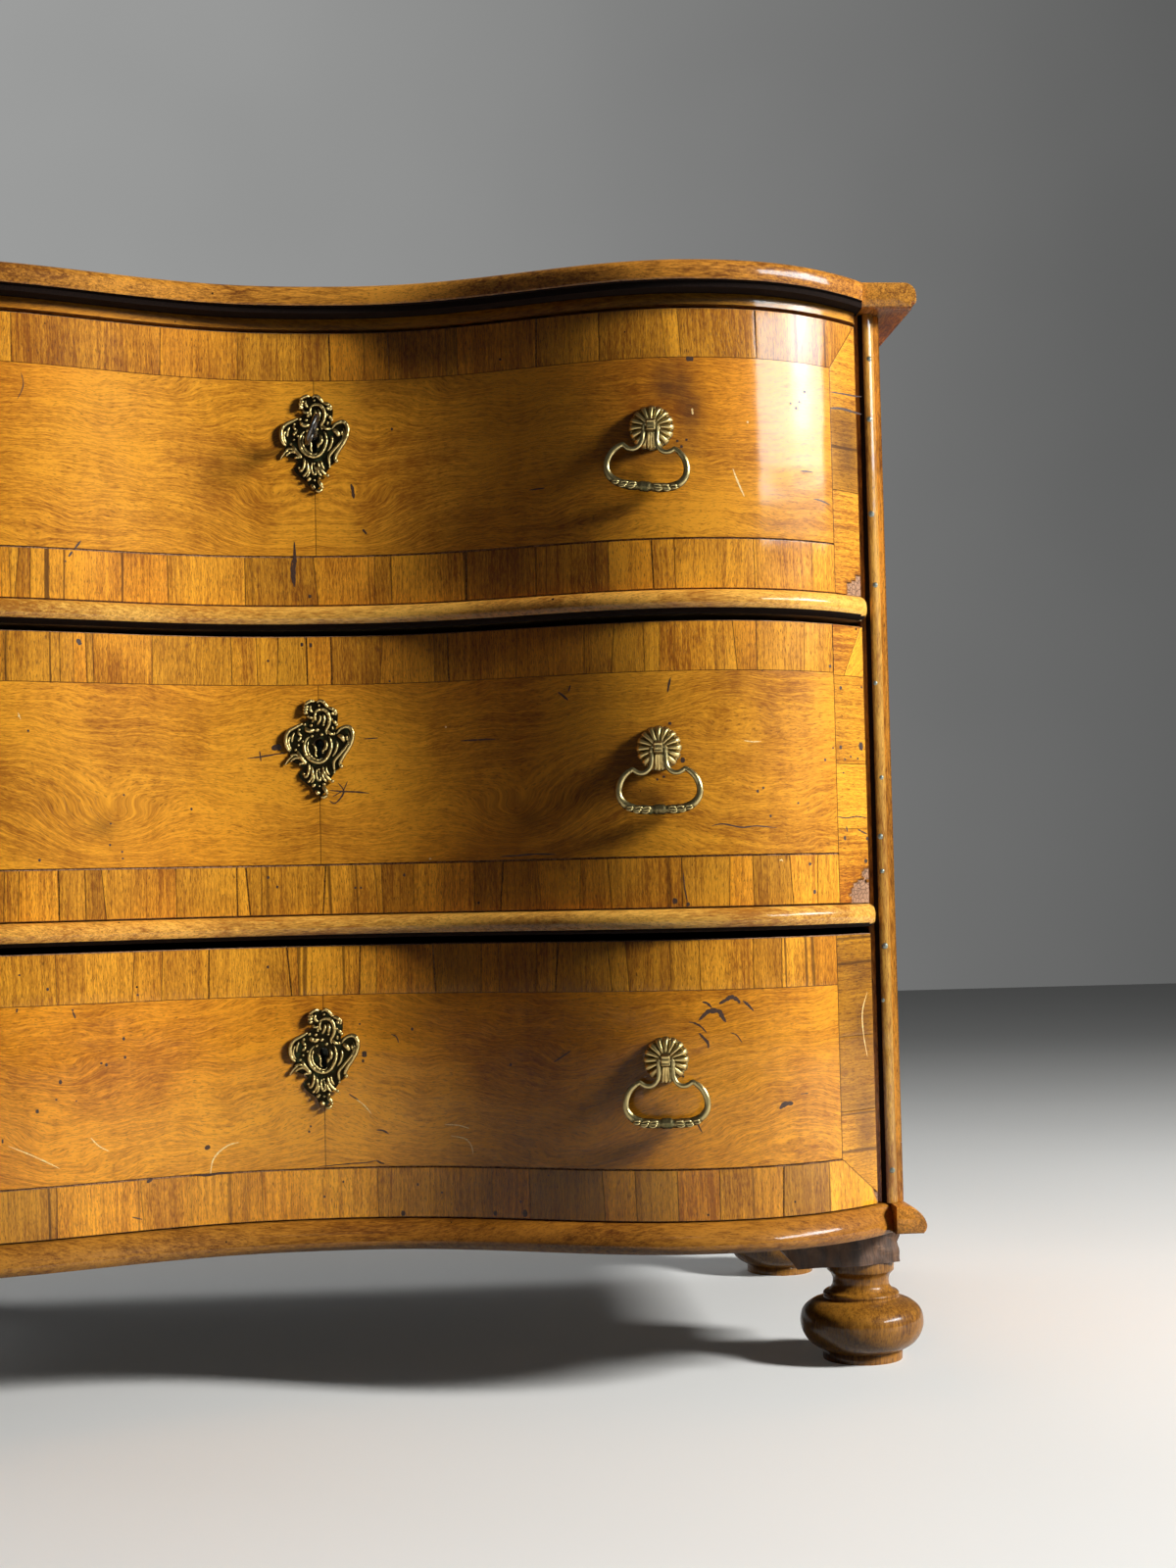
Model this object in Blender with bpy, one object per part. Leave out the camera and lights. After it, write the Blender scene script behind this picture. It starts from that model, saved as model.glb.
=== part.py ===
"""Serpentine chest of drawers: a veneered case on turned feet with three bow-and-hollow drawers.

The case stands on Z = 0 with its front towards -Y and its middle on X = 0. Every plan line of the
front follows one curve, front_line, and every height is stacked up from the floor, so a change of
one size carries through the pieces that meet it.
"""
import math

import bmesh
import bpy
from mathutils import Matrix

# Case, in metres
case_width = 0.888
side_thickness = 0.020
centre_depth = 0.490
back_thickness = 0.012
back_rebate = 0.010
fit = 0.0003

# Plan curve of the front: hollow in the middle, two bows, swept back at the ends
bow_depth = 0.074
bow_reach = 0.285
bow_power_share = 1.25
end_return = 0.056
end_power_share = 2.35
front_steps = 34

# Heights, stacked from the floor
foot_height = 0.0775
block_height = 0.0316
base_height = 0.0216
lower_opening = 0.2140
middle_opening = 0.2208
upper_opening = 0.2163
rail_height = 0.0175
top_rail_height = 0.0089
top_height = 0.0213

# Rails, posts and their half-round beads
bead_projection = 0.0107
bead_stilt = 0.0020
bead_seat = 0.0040
bead_end_round = 0.0060
bead_end_share = 0.35
bead_steps = 5
post_setback = 0.0080
post_bead_width = 0.0120
post_bead_inset = 0.0040
rail_to_post_gap = 0.0008
top_rail_depth = 0.0450

# Top: a board framed by mouldings on three sides
top_nose = 0.0210
top_side_overhang = 0.0270
top_side_width = 0.0440
top_front_width = 0.0400
top_side_lead = 0.0150
top_round = 0.0070
top_lip_height = 0.0045
top_lip_setback = 0.0040
round_steps = 4

# Base moulding, drawn as (outward, upward) shares of its nose and height
base_nose = 0.0140
base_seat = 0.0120
base_side_inset = 0.0100
base_side_lead = 0.0160
base_profile_shares = (
    (0.00, 1.00), (0.20, 0.95), (0.55, 0.79), (0.86, 0.56), (1.00, 0.32), (0.96, 0.14), (0.80, 0.00),
)

# Feet and the blocks that they are dowelled into
bun_radius = 0.0490
foot_side_inset = 0.0224
front_foot_back = 0.0490
rear_foot_front = 0.0570
dowel_radius = 0.0120
dowel_height = 0.0240
foot_steps = 20
foot_profile_shares = (
    (0.643, 0.000), (0.643, 0.100), (0.84, 0.175), (0.96, 0.275), (1.00, 0.390), (0.95, 0.505),
    (0.80, 0.585), (0.60, 0.625), (0.585, 0.680), (0.48, 0.740), (0.48, 0.850), (0.545, 0.900),
    (0.545, 1.000),
)
block_width = 0.1050
block_depth = 0.1080
block_side_reach = 0.0060
block_front_back = 0.0100
block_slant = 0.0200
block_hewn = 0.0180

# Drawers
front_thickness = 0.0280
drawer_side_thickness = 0.0140
drawer_back_thickness = 0.0120
drawer_bottom_thickness = 0.0080
drawer_side_clearance = 0.0015
drawer_lift = 0.0008
upper_top_gap = 0.0025
lower_top_gap = 0.0055
side_drop = 0.0220
back_drop = 0.0080
lap_depth = 0.0100
groove_depth = 0.0060
bottom_lift = 0.0060
drawer_stop_gap = 0.0080

# Handles: a fluted rosette with a square block and a leaf below it, and a bail that hangs in it
handle_reach = 0.2550
handle_heights = {"upper": 0.1225, "middle": 0.1198, "lower": 0.1203}
rosette_radius = 0.0165
rosette_rim = 0.0012
rosette_dome = 0.0050
rosette_eye_radius = 0.0052
rosette_flutes = 16
flute_share = 0.07
flute_depth_shares = (1.0, 1.0, 0.6, 0.0)
leaf_neck_half_width = 0.0026
leaf_tip_half_width = 0.0042
leaf_drop = 0.0158
leaf_neck_out = 0.0085
leaf_tip_out = 0.0040
block_stem_length = 0.0150
block_half_width = 0.0032
block_half_height = 0.0048
pivot_standoff = 0.0110
pin_radius = 0.0011
pin_clearance = 0.0003
pin_seat = 0.0018
arm_clearance = 0.0006
arm_radius = 0.0015
bar_radius = 0.0042
bar_flatness_share = 0.72
bail_half_width = 0.0305
bail_drop = 0.0460
bail_sides = 6
shank_radius = 0.0024
shank_clearance = 0.0004
shank_steps = 8
nut_radius = 0.0060
nut_height = 0.0040
nut_reach = 0.0020

# Each bail half, as (across, down, swell) shares: a close arm out to the cusp, then the loop
arm_path_shares = (
    (0.00, 0.22, 0.00), (0.05, 0.33, 0.03), (0.17, 0.40, 0.06), (0.35, 0.405, 0.08), (0.56, 0.345, 0.08),
)
loop_path_shares = (
    (0.80, 0.45, 0.22), (0.98, 0.65, 0.28), (0.91, 0.86, 0.44), (0.56, 0.97, 0.80),
)

# Escutcheons: a rococo cartouche, drawn clockwise from its top as shares of its half sizes
plate_half_width = 0.0275
plate_half_height = 0.0390
plate_rim = 0.0012
plate_swell = 0.0024
plate_crown = 0.0034
plate_swell_share = 0.88
plate_crown_share = 0.66
plate_drop = 0.0040
cartouche_shares = (
    (-0.13, 1.00), (0.11, 0.99), (0.31, 0.87), (0.54, 0.79), (0.60, 0.69), (0.57, 0.49),
    (0.53, 0.38), (0.81, 0.45), (1.00, 0.36), (1.02, 0.22), (0.92, 0.07), (0.72, -0.12),
    (0.60, -0.24), (0.67, -0.36), (0.50, -0.50), (0.36, -0.64), (0.12, -0.79), (0.21, -0.88),
    (0.06, -1.00), (-0.04, -1.01), (-0.19, -0.93), (-0.26, -0.83), (-0.52, -0.69), (-0.65, -0.55),
    (-0.49, -0.41), (-0.75, -0.31), (-0.97, -0.22), (-0.87, -0.04), (-1.00, 0.11), (-1.02, 0.24),
    (-0.87, 0.40), (-0.63, 0.48), (-0.41, 0.56), (-0.28, 0.69), (-0.41, 0.79), (-0.38, 0.91),
)

# Keyholes, locks, the bolt and the key
keyhole_heights = {"upper": 0.1315, "middle": 0.1328, "lower": 0.1273}
keyhole_radius = 0.0035
keyhole_slot_width = 0.0042
keyhole_slot_drop = 0.0135
keyhole_steps = 12
lock_width = 0.0600
lock_below = 0.0180
lock_above = 0.0230
lock_depth = 0.0120
lock_mortise = 0.0030
lock_neck_width = 0.0260
lock_top_gap = 0.0020
lock_wall = 0.0020
chamber_radius = 0.0105
bolt_width = 0.0140
bolt_thickness = 0.0040
bolt_drop = 0.0020
key_tilt = 21.0
key_shaft_radius = 0.0022
key_bit_radius = 0.0090
key_bit_length = 0.0060
key_bit_thickness = 0.0020
key_stand_out = 0.0230
key_collar_radius = 0.0034
key_collar_length = 0.0050
key_bow_half_width = 0.0125
key_bow_half_length = 0.0100
key_bow_radius = 0.0019
key_bow_steps = 14
key_sides = 10

# Places worked out from the sizes above
overrun = 0.0050
total_width = case_width + 2 * top_side_overhang
total_depth = top_nose + bow_depth + centre_depth
case_half = case_width / 2
opening_half = case_half - side_thickness
rear_y = total_depth / 2
hollow_y = -total_depth / 2 + top_nose + bow_depth
block_z = foot_height
base_z = block_z + block_height
lower_z = base_z + base_height
lower_rail_z = lower_z + lower_opening
middle_z = lower_rail_z + rail_height
upper_rail_z = middle_z + middle_opening
upper_z = upper_rail_z + rail_height
top_rail_z = upper_z + upper_opening
top_z = top_rail_z + top_rail_height
total_height = top_z + top_height
inner_rear_y = rear_y - back_thickness
drawer_half = opening_half - drawer_side_clearance
drawer_inner_half = drawer_half - drawer_side_thickness
drawer_rear_y = inner_rear_y - drawer_stop_gap
floors = {"upper": upper_z, "middle": middle_z, "lower": lower_z}
ceilings = {"upper": top_rail_z, "middle": upper_rail_z, "lower": lower_rail_z}
top_gaps = {"upper": upper_top_gap, "middle": lower_top_gap, "lower": lower_top_gap}
lock_y = hollow_y + front_thickness - lock_mortise


def front_line(x):
    """The plan curve of the drawer fronts, as a distance in front of or behind the hollow middle."""
    reach = abs(x)
    if reach <= bow_reach:
        swing = (1 - math.cos(math.pi * reach / bow_reach)) / 2
        return -bow_depth * swing ** bow_power_share
    run = opening_half - bow_reach
    return -bow_depth + end_return * ((reach - bow_reach) / run) ** end_power_share


def grid_x(index):
    return -case_half + case_width * index / front_steps


def front_y(x):
    """The same curve as all the pieces are cut to it: straight between evenly spaced stations."""
    place = (x + case_half) / case_width * front_steps
    index = min(max(int(math.floor(place)), 0), front_steps - 1)
    low = front_line(grid_x(index))
    high = front_line(grid_x(index + 1))
    return hollow_y + low + (high - low) * (place - index)


def stations(start, end):
    inside = [grid_x(i) for i in range(front_steps + 1) if start < grid_x(i) < end]
    clear = fit
    return [start] + [x for x in inside if x - start > clear and end - x > clear] + [end]


def front_edge(start, end, back=0.0):
    return [(x, front_y(x) + back) for x in stations(start, end)]


def make_material(name, colour, roughness, metallic=0.0):
    material = bpy.data.materials.new(name)
    material.use_nodes = True
    shader = material.node_tree.nodes["Principled BSDF"]
    shader.inputs["Base Color"].default_value = (*colour, 1.0)
    shader.inputs["Roughness"].default_value = roughness
    shader.inputs["Metallic"].default_value = metallic
    return material


def make_object(name, mesh, material, smooth_angle=None):
    item = bpy.data.objects.new(name, mesh)
    bpy.context.collection.objects.link(item)
    if material is not None:
        mesh.materials.append(material)
    if smooth_angle is not None:
        mesh.shade_smooth()
        mesh.set_sharp_from_angle(angle=math.radians(smooth_angle))
    return item


def loft(loops, closed=False):
    """A closed mesh through loops of equally many points, with a flat cap on each end."""
    mesh = bpy.data.meshes.new("loft")
    work = bmesh.new()
    rings = [[work.verts.new(point) for point in loop] for loop in loops]
    count = len(rings[0])
    pairs = list(zip(rings, rings[1:]))
    if closed:
        pairs.append((rings[-1], rings[0]))
    else:
        work.faces.new(rings[0])
        work.faces.new(rings[-1])
    for low, high in pairs:
        for i in range(count):
            j = (i + 1) % count
            work.faces.new((low[i], low[j], high[j], high[i]))
    bmesh.ops.recalc_face_normals(work, faces=work.faces)
    work.to_mesh(mesh)
    work.free()
    return mesh


def prism(outline, low, high):
    return loft([[(x, y, z) for x, y in outline] for z in (low, high)])


def box(low, high):
    outline = [(low[0], low[1]), (high[0], low[1]), (high[0], high[1]), (low[0], high[1])]
    return prism(outline, low[2], high[2])


def sweep_front(profile, start, end, scale_at=None):
    """A moulding along the front: the profile's points are (forward of the front curve, height)."""
    loops = []
    for x in stations(start, end):
        grow = 1.0 if scale_at is None else scale_at(x)
        loops.append([(x, front_y(x) - (out * grow if out > 0 else out), z) for out, z in profile])
    return loft(loops)


def turned(profile, steps):
    """A solid turned about Z from (radius, height) points."""
    loops = []
    for radius, z in profile:
        angles = [2 * math.pi * i / steps for i in range(steps)]
        loops.append([(radius * math.cos(a), radius * math.sin(a), z) for a in angles])
    return loft(loops)


def carve(item, tools, operation="DIFFERENCE"):
    """Cut or join the tool meshes into an object, and leave the result as its mesh."""
    bpy.context.view_layer.update()
    for mesh in tools:
        tool = bpy.data.objects.new("tool", mesh)
        bpy.context.collection.objects.link(tool)
        tool.hide_render = True
        tool.display_type = "WIRE"
        tool.matrix_world = item.matrix_world
        modifier = item.modifiers.new("cut", "BOOLEAN")
        modifier.operation = operation
        modifier.solver = "EXACT"
        modifier.object = tool
        bpy.context.view_layer.update()
        evaluated = item.evaluated_get(bpy.context.evaluated_depsgraph_get())
        result = bpy.data.meshes.new_from_object(evaluated)
        item.modifiers.clear()
        item.data = result
        bpy.data.objects.remove(tool)


def smooth_path(points, steps):
    """Points of any size, with steps - 1 more between each two on a Catmull-Rom curve."""
    result = []
    for i in range(len(points) - 1):
        before = points[max(i - 1, 0)]
        after = points[min(i + 2, len(points) - 1)]
        for step in range(steps):
            t = step / steps
            row = []
            for a, b, c, d in zip(before, points[i], points[i + 1], after):
                pull = (2 * a - 5 * b + 4 * c - d) * t * t + (3 * b - a - 3 * c + d) * t ** 3
                row.append((2 * b + (c - a) * t + pull) / 2)
            result.append(tuple(row))
    result.append(points[-1])
    return result


def build_case(pine, veneer):
    post_y = front_y(opening_half) + post_setback
    rebate_x = opening_half + back_rebate
    rebate_y = inner_rear_y - fit
    for name, hand in (("side_left", -1), ("side_right", 1)):
        outline = [
            (hand * opening_half, post_y), (hand * case_half, post_y), (hand * case_half, rear_y),
            (hand * rebate_x, rear_y), (hand * rebate_x, rebate_y), (hand * opening_half, rebate_y),
        ]
        make_object(name, prism(outline, lower_z + fit, top_z - fit), veneer)
    half = rebate_x - fit
    make_object("back_panel", box((-half, inner_rear_y, base_z), (half, rear_y, top_z - fit)), pine)
    half = case_half - base_side_inset - fit
    outline = front_edge(-half, half, base_seat + fit)
    outline += [(half, rebate_y), (-half, rebate_y)]
    make_object("bottom_board", prism(outline, base_z, lower_z), pine)
    half = opening_half - fit
    for name, low in (("dustboard_lower", lower_rail_z), ("dustboard_upper", upper_rail_z)):
        outline = front_edge(-half, half, bead_seat + fit) + [(half, rebate_y), (-half, rebate_y)]
        make_object(name, prism(outline, low, low + rail_height), pine)
    outline = front_edge(-half, half)
    outline += [(half, hollow_y + top_rail_depth), (-half, hollow_y + top_rail_depth)]
    rail = make_object("top_rail", prism(outline, top_rail_z, top_z - fit), veneer)
    bolt_x = bolt_width / 2 + fit + fit
    bolt_y = lock_y + lock_depth / 2
    deep = bolt_thickness / 2 + fit + fit
    low = (-bolt_x, bolt_y - deep, top_rail_z - overrun)
    carve(rail, [box(low, (bolt_x, bolt_y + deep, top_z + overrun))])


def bead_profile(low, high):
    middle = (low + high) / 2
    rise = (high - low) / 2
    points = [(-bead_seat, low)]
    for i in range(bead_steps + 1):
        angle = math.pi * i / bead_steps
        out = bead_stilt + (bead_projection - bead_stilt) * math.sin(angle)
        points.append((out, middle - rise * math.cos(angle)))
    return points + [(-bead_seat, high)]


def build_beads(moulding):
    start = case_half - post_bead_inset - post_bead_width
    half = start - rail_to_post_gap

    def end_scale(x):
        left = min(max((half - abs(x)) / bead_end_round, 0.0), 1.0)
        return bead_end_share + (1 - bead_end_share) * math.sqrt(1 - (1 - left) ** 2)

    for name, low in (("divider_bead_lower", lower_rail_z), ("divider_bead_upper", upper_rail_z)):
        profile = bead_profile(low, low + rail_height)
        make_object(name, sweep_front(profile, -half, half, end_scale), moulding, 50)
    radius = post_bead_width / 2
    centre_y = front_y(opening_half) + post_setback - fit
    for name, hand in (("post_bead_left", -1), ("post_bead_right", 1)):
        outline = []
        for i in range(bead_steps + 1):
            angle = math.pi * i / bead_steps
            x = start + radius - radius * math.cos(angle)
            outline.append((hand * x, centre_y - radius * math.sin(angle)))
        make_object(name, prism(outline, lower_z + fit, top_z - fit), moulding, 50)


def top_profile(seat, nose):
    """Section of the top's moulding: rounded upper edge, flat face, and a lip set back below it."""
    points = [(-seat, top_z), (-seat, total_height)]
    for i in range(round_steps + 1):
        angle = math.pi / 2 * i / round_steps
        out = nose - top_round + top_round * math.sin(angle)
        points.append((out, total_height - top_round + top_round * math.cos(angle)))
    points += [(nose, top_z + top_lip_height), (nose - top_lip_setback, top_z + top_lip_height)]
    return points + [(nose - top_lip_setback, top_z)]


def base_profile(seat, nose):
    points = [(-seat, base_z), (-seat, lower_z)]
    for out, up in base_profile_shares:
        points.append((nose * out, base_z + base_height * up))
    return points


def side_moulding(profile, face_x, hand, front):
    """The same kind of section, run straight back along one side of the case."""
    loops = [[(hand * (face_x + out), y, z) for out, z in profile] for y in (front, rear_y)]
    return loft(loops)


def build_mouldings(veneer, moulding):
    top_half = total_width / 2 - top_side_width
    half = top_half - fit
    mesh = sweep_front(top_profile(top_front_width - top_nose, top_nose), -half, half)
    make_object("top_front_moulding", mesh, moulding, 50)
    outline = front_edge(-half, half, top_front_width - top_nose + fit)
    outline += [(half, rear_y), (-half, rear_y)]
    make_object("top_board", prism(outline, top_z, total_height), veneer)
    base_half = case_half - base_side_inset
    half = base_half - fit
    mesh = sweep_front(base_profile(base_seat, base_nose), -half, half)
    make_object("base_front_moulding", mesh, moulding, 50)
    end_y = front_y(opening_half)
    for side, hand in (("left", -1), ("right", 1)):
        profile = top_profile(case_half - top_half, top_side_overhang)
        mesh = side_moulding(profile, case_half, hand, end_y - top_side_lead)
        make_object("top_side_moulding_" + side, mesh, moulding, 50)
        profile = base_profile(base_side_inset, base_nose)
        mesh = side_moulding(profile, case_half, hand, end_y - base_side_lead)
        make_object("base_side_moulding_" + side, mesh, moulding, 50)


def build_feet(dark):
    foot_x = case_half - foot_side_inset
    front_foot_y = hollow_y + front_foot_back
    rear_foot_y = rear_y - rear_foot_front
    profile = [(bun_radius * r, foot_height * z) for r, z in foot_profile_shares]
    outer = case_half + block_side_reach
    for side, hand in (("left", -1), ("right", 1)):
        inner = outer - block_width
        front = hollow_y + block_front_back
        top_loop = [
            (hand * inner, front), (hand * outer, front + block_slant),
            (hand * outer, front + block_depth), (hand * inner, front + block_depth),
        ]
        low_loop = [(x + (hand * block_hewn if abs(x) < outer else 0.0), y) for x, y in top_loop]
        loops = [[(x, y, block_z + fit) for x, y in low_loop]]
        loops.append([(x, y, base_z - fit) for x, y in top_loop])
        block = make_object("foot_block_front_" + side, loft(loops), dark)
        bore = dowel_radius + fit
        hole = turned([(bore, block_z - overrun), (bore, base_z + overrun)], foot_steps)
        hole.transform(Matrix.Translation((hand * foot_x, front_foot_y, 0)))
        carve(block, [hole])
        dowel = [(dowel_radius, foot_height), (dowel_radius, foot_height + dowel_height)]
        mesh = turned(profile + dowel, foot_steps)
        foot = make_object("foot_front_" + side, mesh, dark, 40)
        foot.location = (hand * foot_x, front_foot_y, 0)
        half_block = outer - foot_x
        foot = make_object("foot_rear_" + side, turned(profile, foot_steps), dark, 40)
        foot.location = (hand * foot_x, rear_foot_y, 0)
        low = (-half_block, -half_block, foot_height - fit)
        carve(foot, [box(low, (half_block, half_block, base_z - fit))], "UNION")


def bottom_mesh(half, half_grow, low, high, rear):
    """The drawer bottom's shape. Grown by a clearance it also cuts the grooves that hold it."""
    start = front_thickness - groove_depth - half_grow
    wide = half + half_grow
    outline = front_edge(-wide, wide, start) + [(wide, rear), (-wide, rear)]
    return prism(outline, low - half_grow, high + half_grow)


def keyhole_mesh(x, z, front, back):
    """The hole of a key, a round with a slot below it, as a cutter along Y."""
    points = []
    half_slot = keyhole_slot_width / 2
    start = math.asin(half_slot / keyhole_radius)
    for i in range(keyhole_steps + 1):
        angle = start + (2 * math.pi - 2 * start) * i / keyhole_steps
        points.append((-keyhole_radius * math.sin(angle), -keyhole_radius * math.cos(angle)))
    points += [(half_slot, -keyhole_slot_drop), (-half_slot, -keyhole_slot_drop)]
    return loft([[(x + dx, y, z + dz) for dx, dz in points] for y in (front, back)])


def handle_frame(x, z):
    """A frame on the drawer front: local X along the curve, local -Y straight out of it."""
    slope = (front_y(x + rosette_radius) - front_y(x - rosette_radius)) / (2 * rosette_radius)
    return Matrix.Translation((x, front_y(x), z)) @ Matrix.Rotation(math.atan(slope), 4, "Z")


def outward(mesh):
    """Lay a mesh that was turned about Z so that its axis points along -Y."""
    mesh.transform(Matrix.Rotation(math.pi / 2, 4, "X"))
    return mesh


def build_drawer(level, pine, veneer):
    floor = floors[level]
    front_low = floor + drawer_lift
    front_high = ceilings[level] - top_gaps[level]
    side_low = floor + fit
    side_high = front_high - side_drop
    bottom_low = side_low + bottom_lift
    bottom_high = bottom_low + drawer_bottom_thickness
    bottom_half = drawer_inner_half + groove_depth
    inner = drawer_inner_half - fit
    lap = front_thickness - lap_depth
    parts = []

    outline = front_edge(-drawer_half, drawer_half)
    outline += front_edge(inner, drawer_half, lap)[::-1]
    outline += front_edge(-inner, inner, front_thickness)[::-1]
    outline += front_edge(-drawer_half, -inner, lap)[::-1]
    front = make_object("drawer_front_" + level, prism(outline, front_low, front_high), veneer)
    groove = bottom_mesh(bottom_half, fit, bottom_low, bottom_high, drawer_rear_y + overrun)
    keyhole_z = floor + keyhole_heights[level]
    low = (-lock_width / 2 - fit, lock_y - fit, keyhole_z - lock_below - fit)
    high = (lock_width / 2 + fit, lock_y + lock_depth, keyhole_z + lock_above + fit)
    neck_half = lock_neck_width / 2 + fit
    neck_low = (-neck_half, lock_y - fit, keyhole_z)
    neck_high = (neck_half, lock_y + lock_depth, front_high + overrun)
    tools = [groove, box(low, high), box(neck_low, neck_high)]
    tools.append(keyhole_mesh(0.0, keyhole_z, hollow_y - overrun, lock_y + overrun))
    bore_radius = shank_radius + shank_clearance
    for hand in (-1, 1):
        ends = [(bore_radius, -front_thickness - overrun), (bore_radius, overrun)]
        bore = outward(turned(ends, shank_steps))
        bore.transform(handle_frame(hand * handle_reach, floor + handle_heights[level]))
        tools.append(bore)
    carve(front, tools)
    parts.append(front)

    for side, hand in (("left", -1), ("right", 1)):
        if hand > 0:
            edge = front_edge(drawer_inner_half, drawer_half, lap + fit)
        else:
            edge = front_edge(-drawer_half, -drawer_inner_half, lap + fit)
        outline = edge + [(edge[-1][0], drawer_rear_y), (edge[0][0], drawer_rear_y)]
        mesh = prism(outline, side_low, side_high)
        item = make_object("drawer_side_" + side + "_" + level, mesh, pine)
        groove = bottom_mesh(bottom_half, fit, bottom_low, bottom_high, drawer_rear_y + overrun)
        carve(item, [groove])
        parts.append(item)

    low = (-inner, drawer_rear_y - drawer_back_thickness, bottom_high + fit)
    mesh = box(low, (inner, drawer_rear_y, side_high - back_drop))
    parts.append(make_object("drawer_back_" + level, mesh, pine))
    mesh = bottom_mesh(bottom_half, 0.0, bottom_low, bottom_high, drawer_rear_y)
    parts.append(make_object("drawer_bottom_" + level, mesh, pine))
    return parts


def build_lock(level, steel):
    floor = floors[level]
    keyhole_z = floor + keyhole_heights[level]
    top = ceilings[level] - top_gaps[level] - lock_top_gap
    back = lock_y + lock_depth
    low = (-lock_width / 2, lock_y, keyhole_z - lock_below)
    high = (lock_width / 2, back, keyhole_z + lock_above)
    lock = make_object("lock_" + level, box(low, high), steel)
    neck_half = lock_neck_width / 2
    neck = box((-neck_half, lock_y, keyhole_z), (neck_half, back, top))
    carve(lock, [neck], "UNION")
    ends = [(chamber_radius, -overrun), (chamber_radius, lock_depth - lock_wall)]
    chamber = outward(turned(ends, foot_steps))
    chamber.transform(Matrix.Translation((0, lock_y, keyhole_z)) @ Matrix.Rotation(math.pi, 4, "Z"))
    tools = [chamber]
    if level == "upper":
        slot_x = bolt_width / 2 + fit
        middle = lock_y + lock_depth / 2
        deep = bolt_thickness / 2 + fit
        low = (-slot_x, middle - deep, keyhole_z + chamber_radius / 2)
        tools.append(box(low, (slot_x, middle + deep, top + overrun)))
    carve(lock, tools)
    return lock


def build_bolt(steel):
    keyhole_z = floors["upper"] + keyhole_heights["upper"]
    low = keyhole_z + chamber_radius + bolt_drop
    high = ceilings["upper"] - top_gaps["upper"] - bolt_drop
    middle = lock_y + lock_depth / 2
    half = bolt_thickness / 2
    mesh = box((-bolt_width / 2, -half, 0.0), (bolt_width / 2, half, high - low))
    bolt = make_object("lock_bolt", mesh, steel)
    bolt.location = (0.0, middle, low)
    return bolt


def build_key(steel):
    """A key in the upper keyhole: stem along Y, bit inside the lock, bow outside, all one piece."""
    tip = lock_depth - lock_wall - fit - fit + lock_y - hollow_y
    stem = [(key_shaft_radius, -tip), (key_shaft_radius, key_stand_out - key_collar_length)]
    stem += [(key_collar_radius, key_stand_out - key_collar_length), (key_collar_radius, key_stand_out)]
    stem.append((key_shaft_radius, key_stand_out + key_bow_radius))
    key = make_object("key", outward(turned(stem, key_sides)), steel, 40)
    half = key_bit_thickness / 2
    bit_back = tip - fit
    bit = box((-half, bit_back - key_bit_length, -key_bit_radius), (half, bit_back, -fit))
    loops = []
    for i in range(key_bow_steps):
        angle = 2 * math.pi * i / key_bow_steps
        centre_y = -key_stand_out - key_bow_half_length + key_bow_half_length * math.cos(angle)
        centre_z = (key_bow_half_width - key_bow_radius) * math.sin(angle)
        loop = []
        for k in range(bail_sides):
            turn = 2 * math.pi * k / bail_sides
            out = key_bow_radius * math.cos(turn)
            y = centre_y + out * math.cos(angle)
            loop.append((key_bow_radius * math.sin(turn), y, centre_z + out * math.sin(angle)))
        loops.append(loop)
    carve(key, [bit, loft(loops, closed=True)], "UNION")
    key.location = (0.0, hollow_y, floors["upper"] + keyhole_heights["upper"])
    key.rotation_euler = (0.0, math.radians(key_tilt), 0.0)
    return key


def build_escutcheon(level, brass):
    keyhole_z = floors[level] + keyhole_heights[level]
    centre_z = keyhole_z - plate_drop
    back = min(front_y(plate_half_width), front_y(-plate_half_width)) - fit
    layers = (
        (1.0, 0.0), (1.0, plate_rim), (plate_swell_share, plate_swell), (plate_crown_share, plate_crown),
    )
    loops = []
    for grow, out in layers:
        loop = []
        for across, up in cartouche_shares:
            x = plate_half_width * across * grow
            loop.append((x, back - out, centre_z + plate_half_height * up * grow))
        loops.append(loop)
    plate = make_object("escutcheon_" + level, loft(loops), brass, 50)
    carve(plate, [keyhole_mesh(0.0, keyhole_z, back - plate_crown - overrun, hollow_y + overrun)])
    return plate


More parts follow.
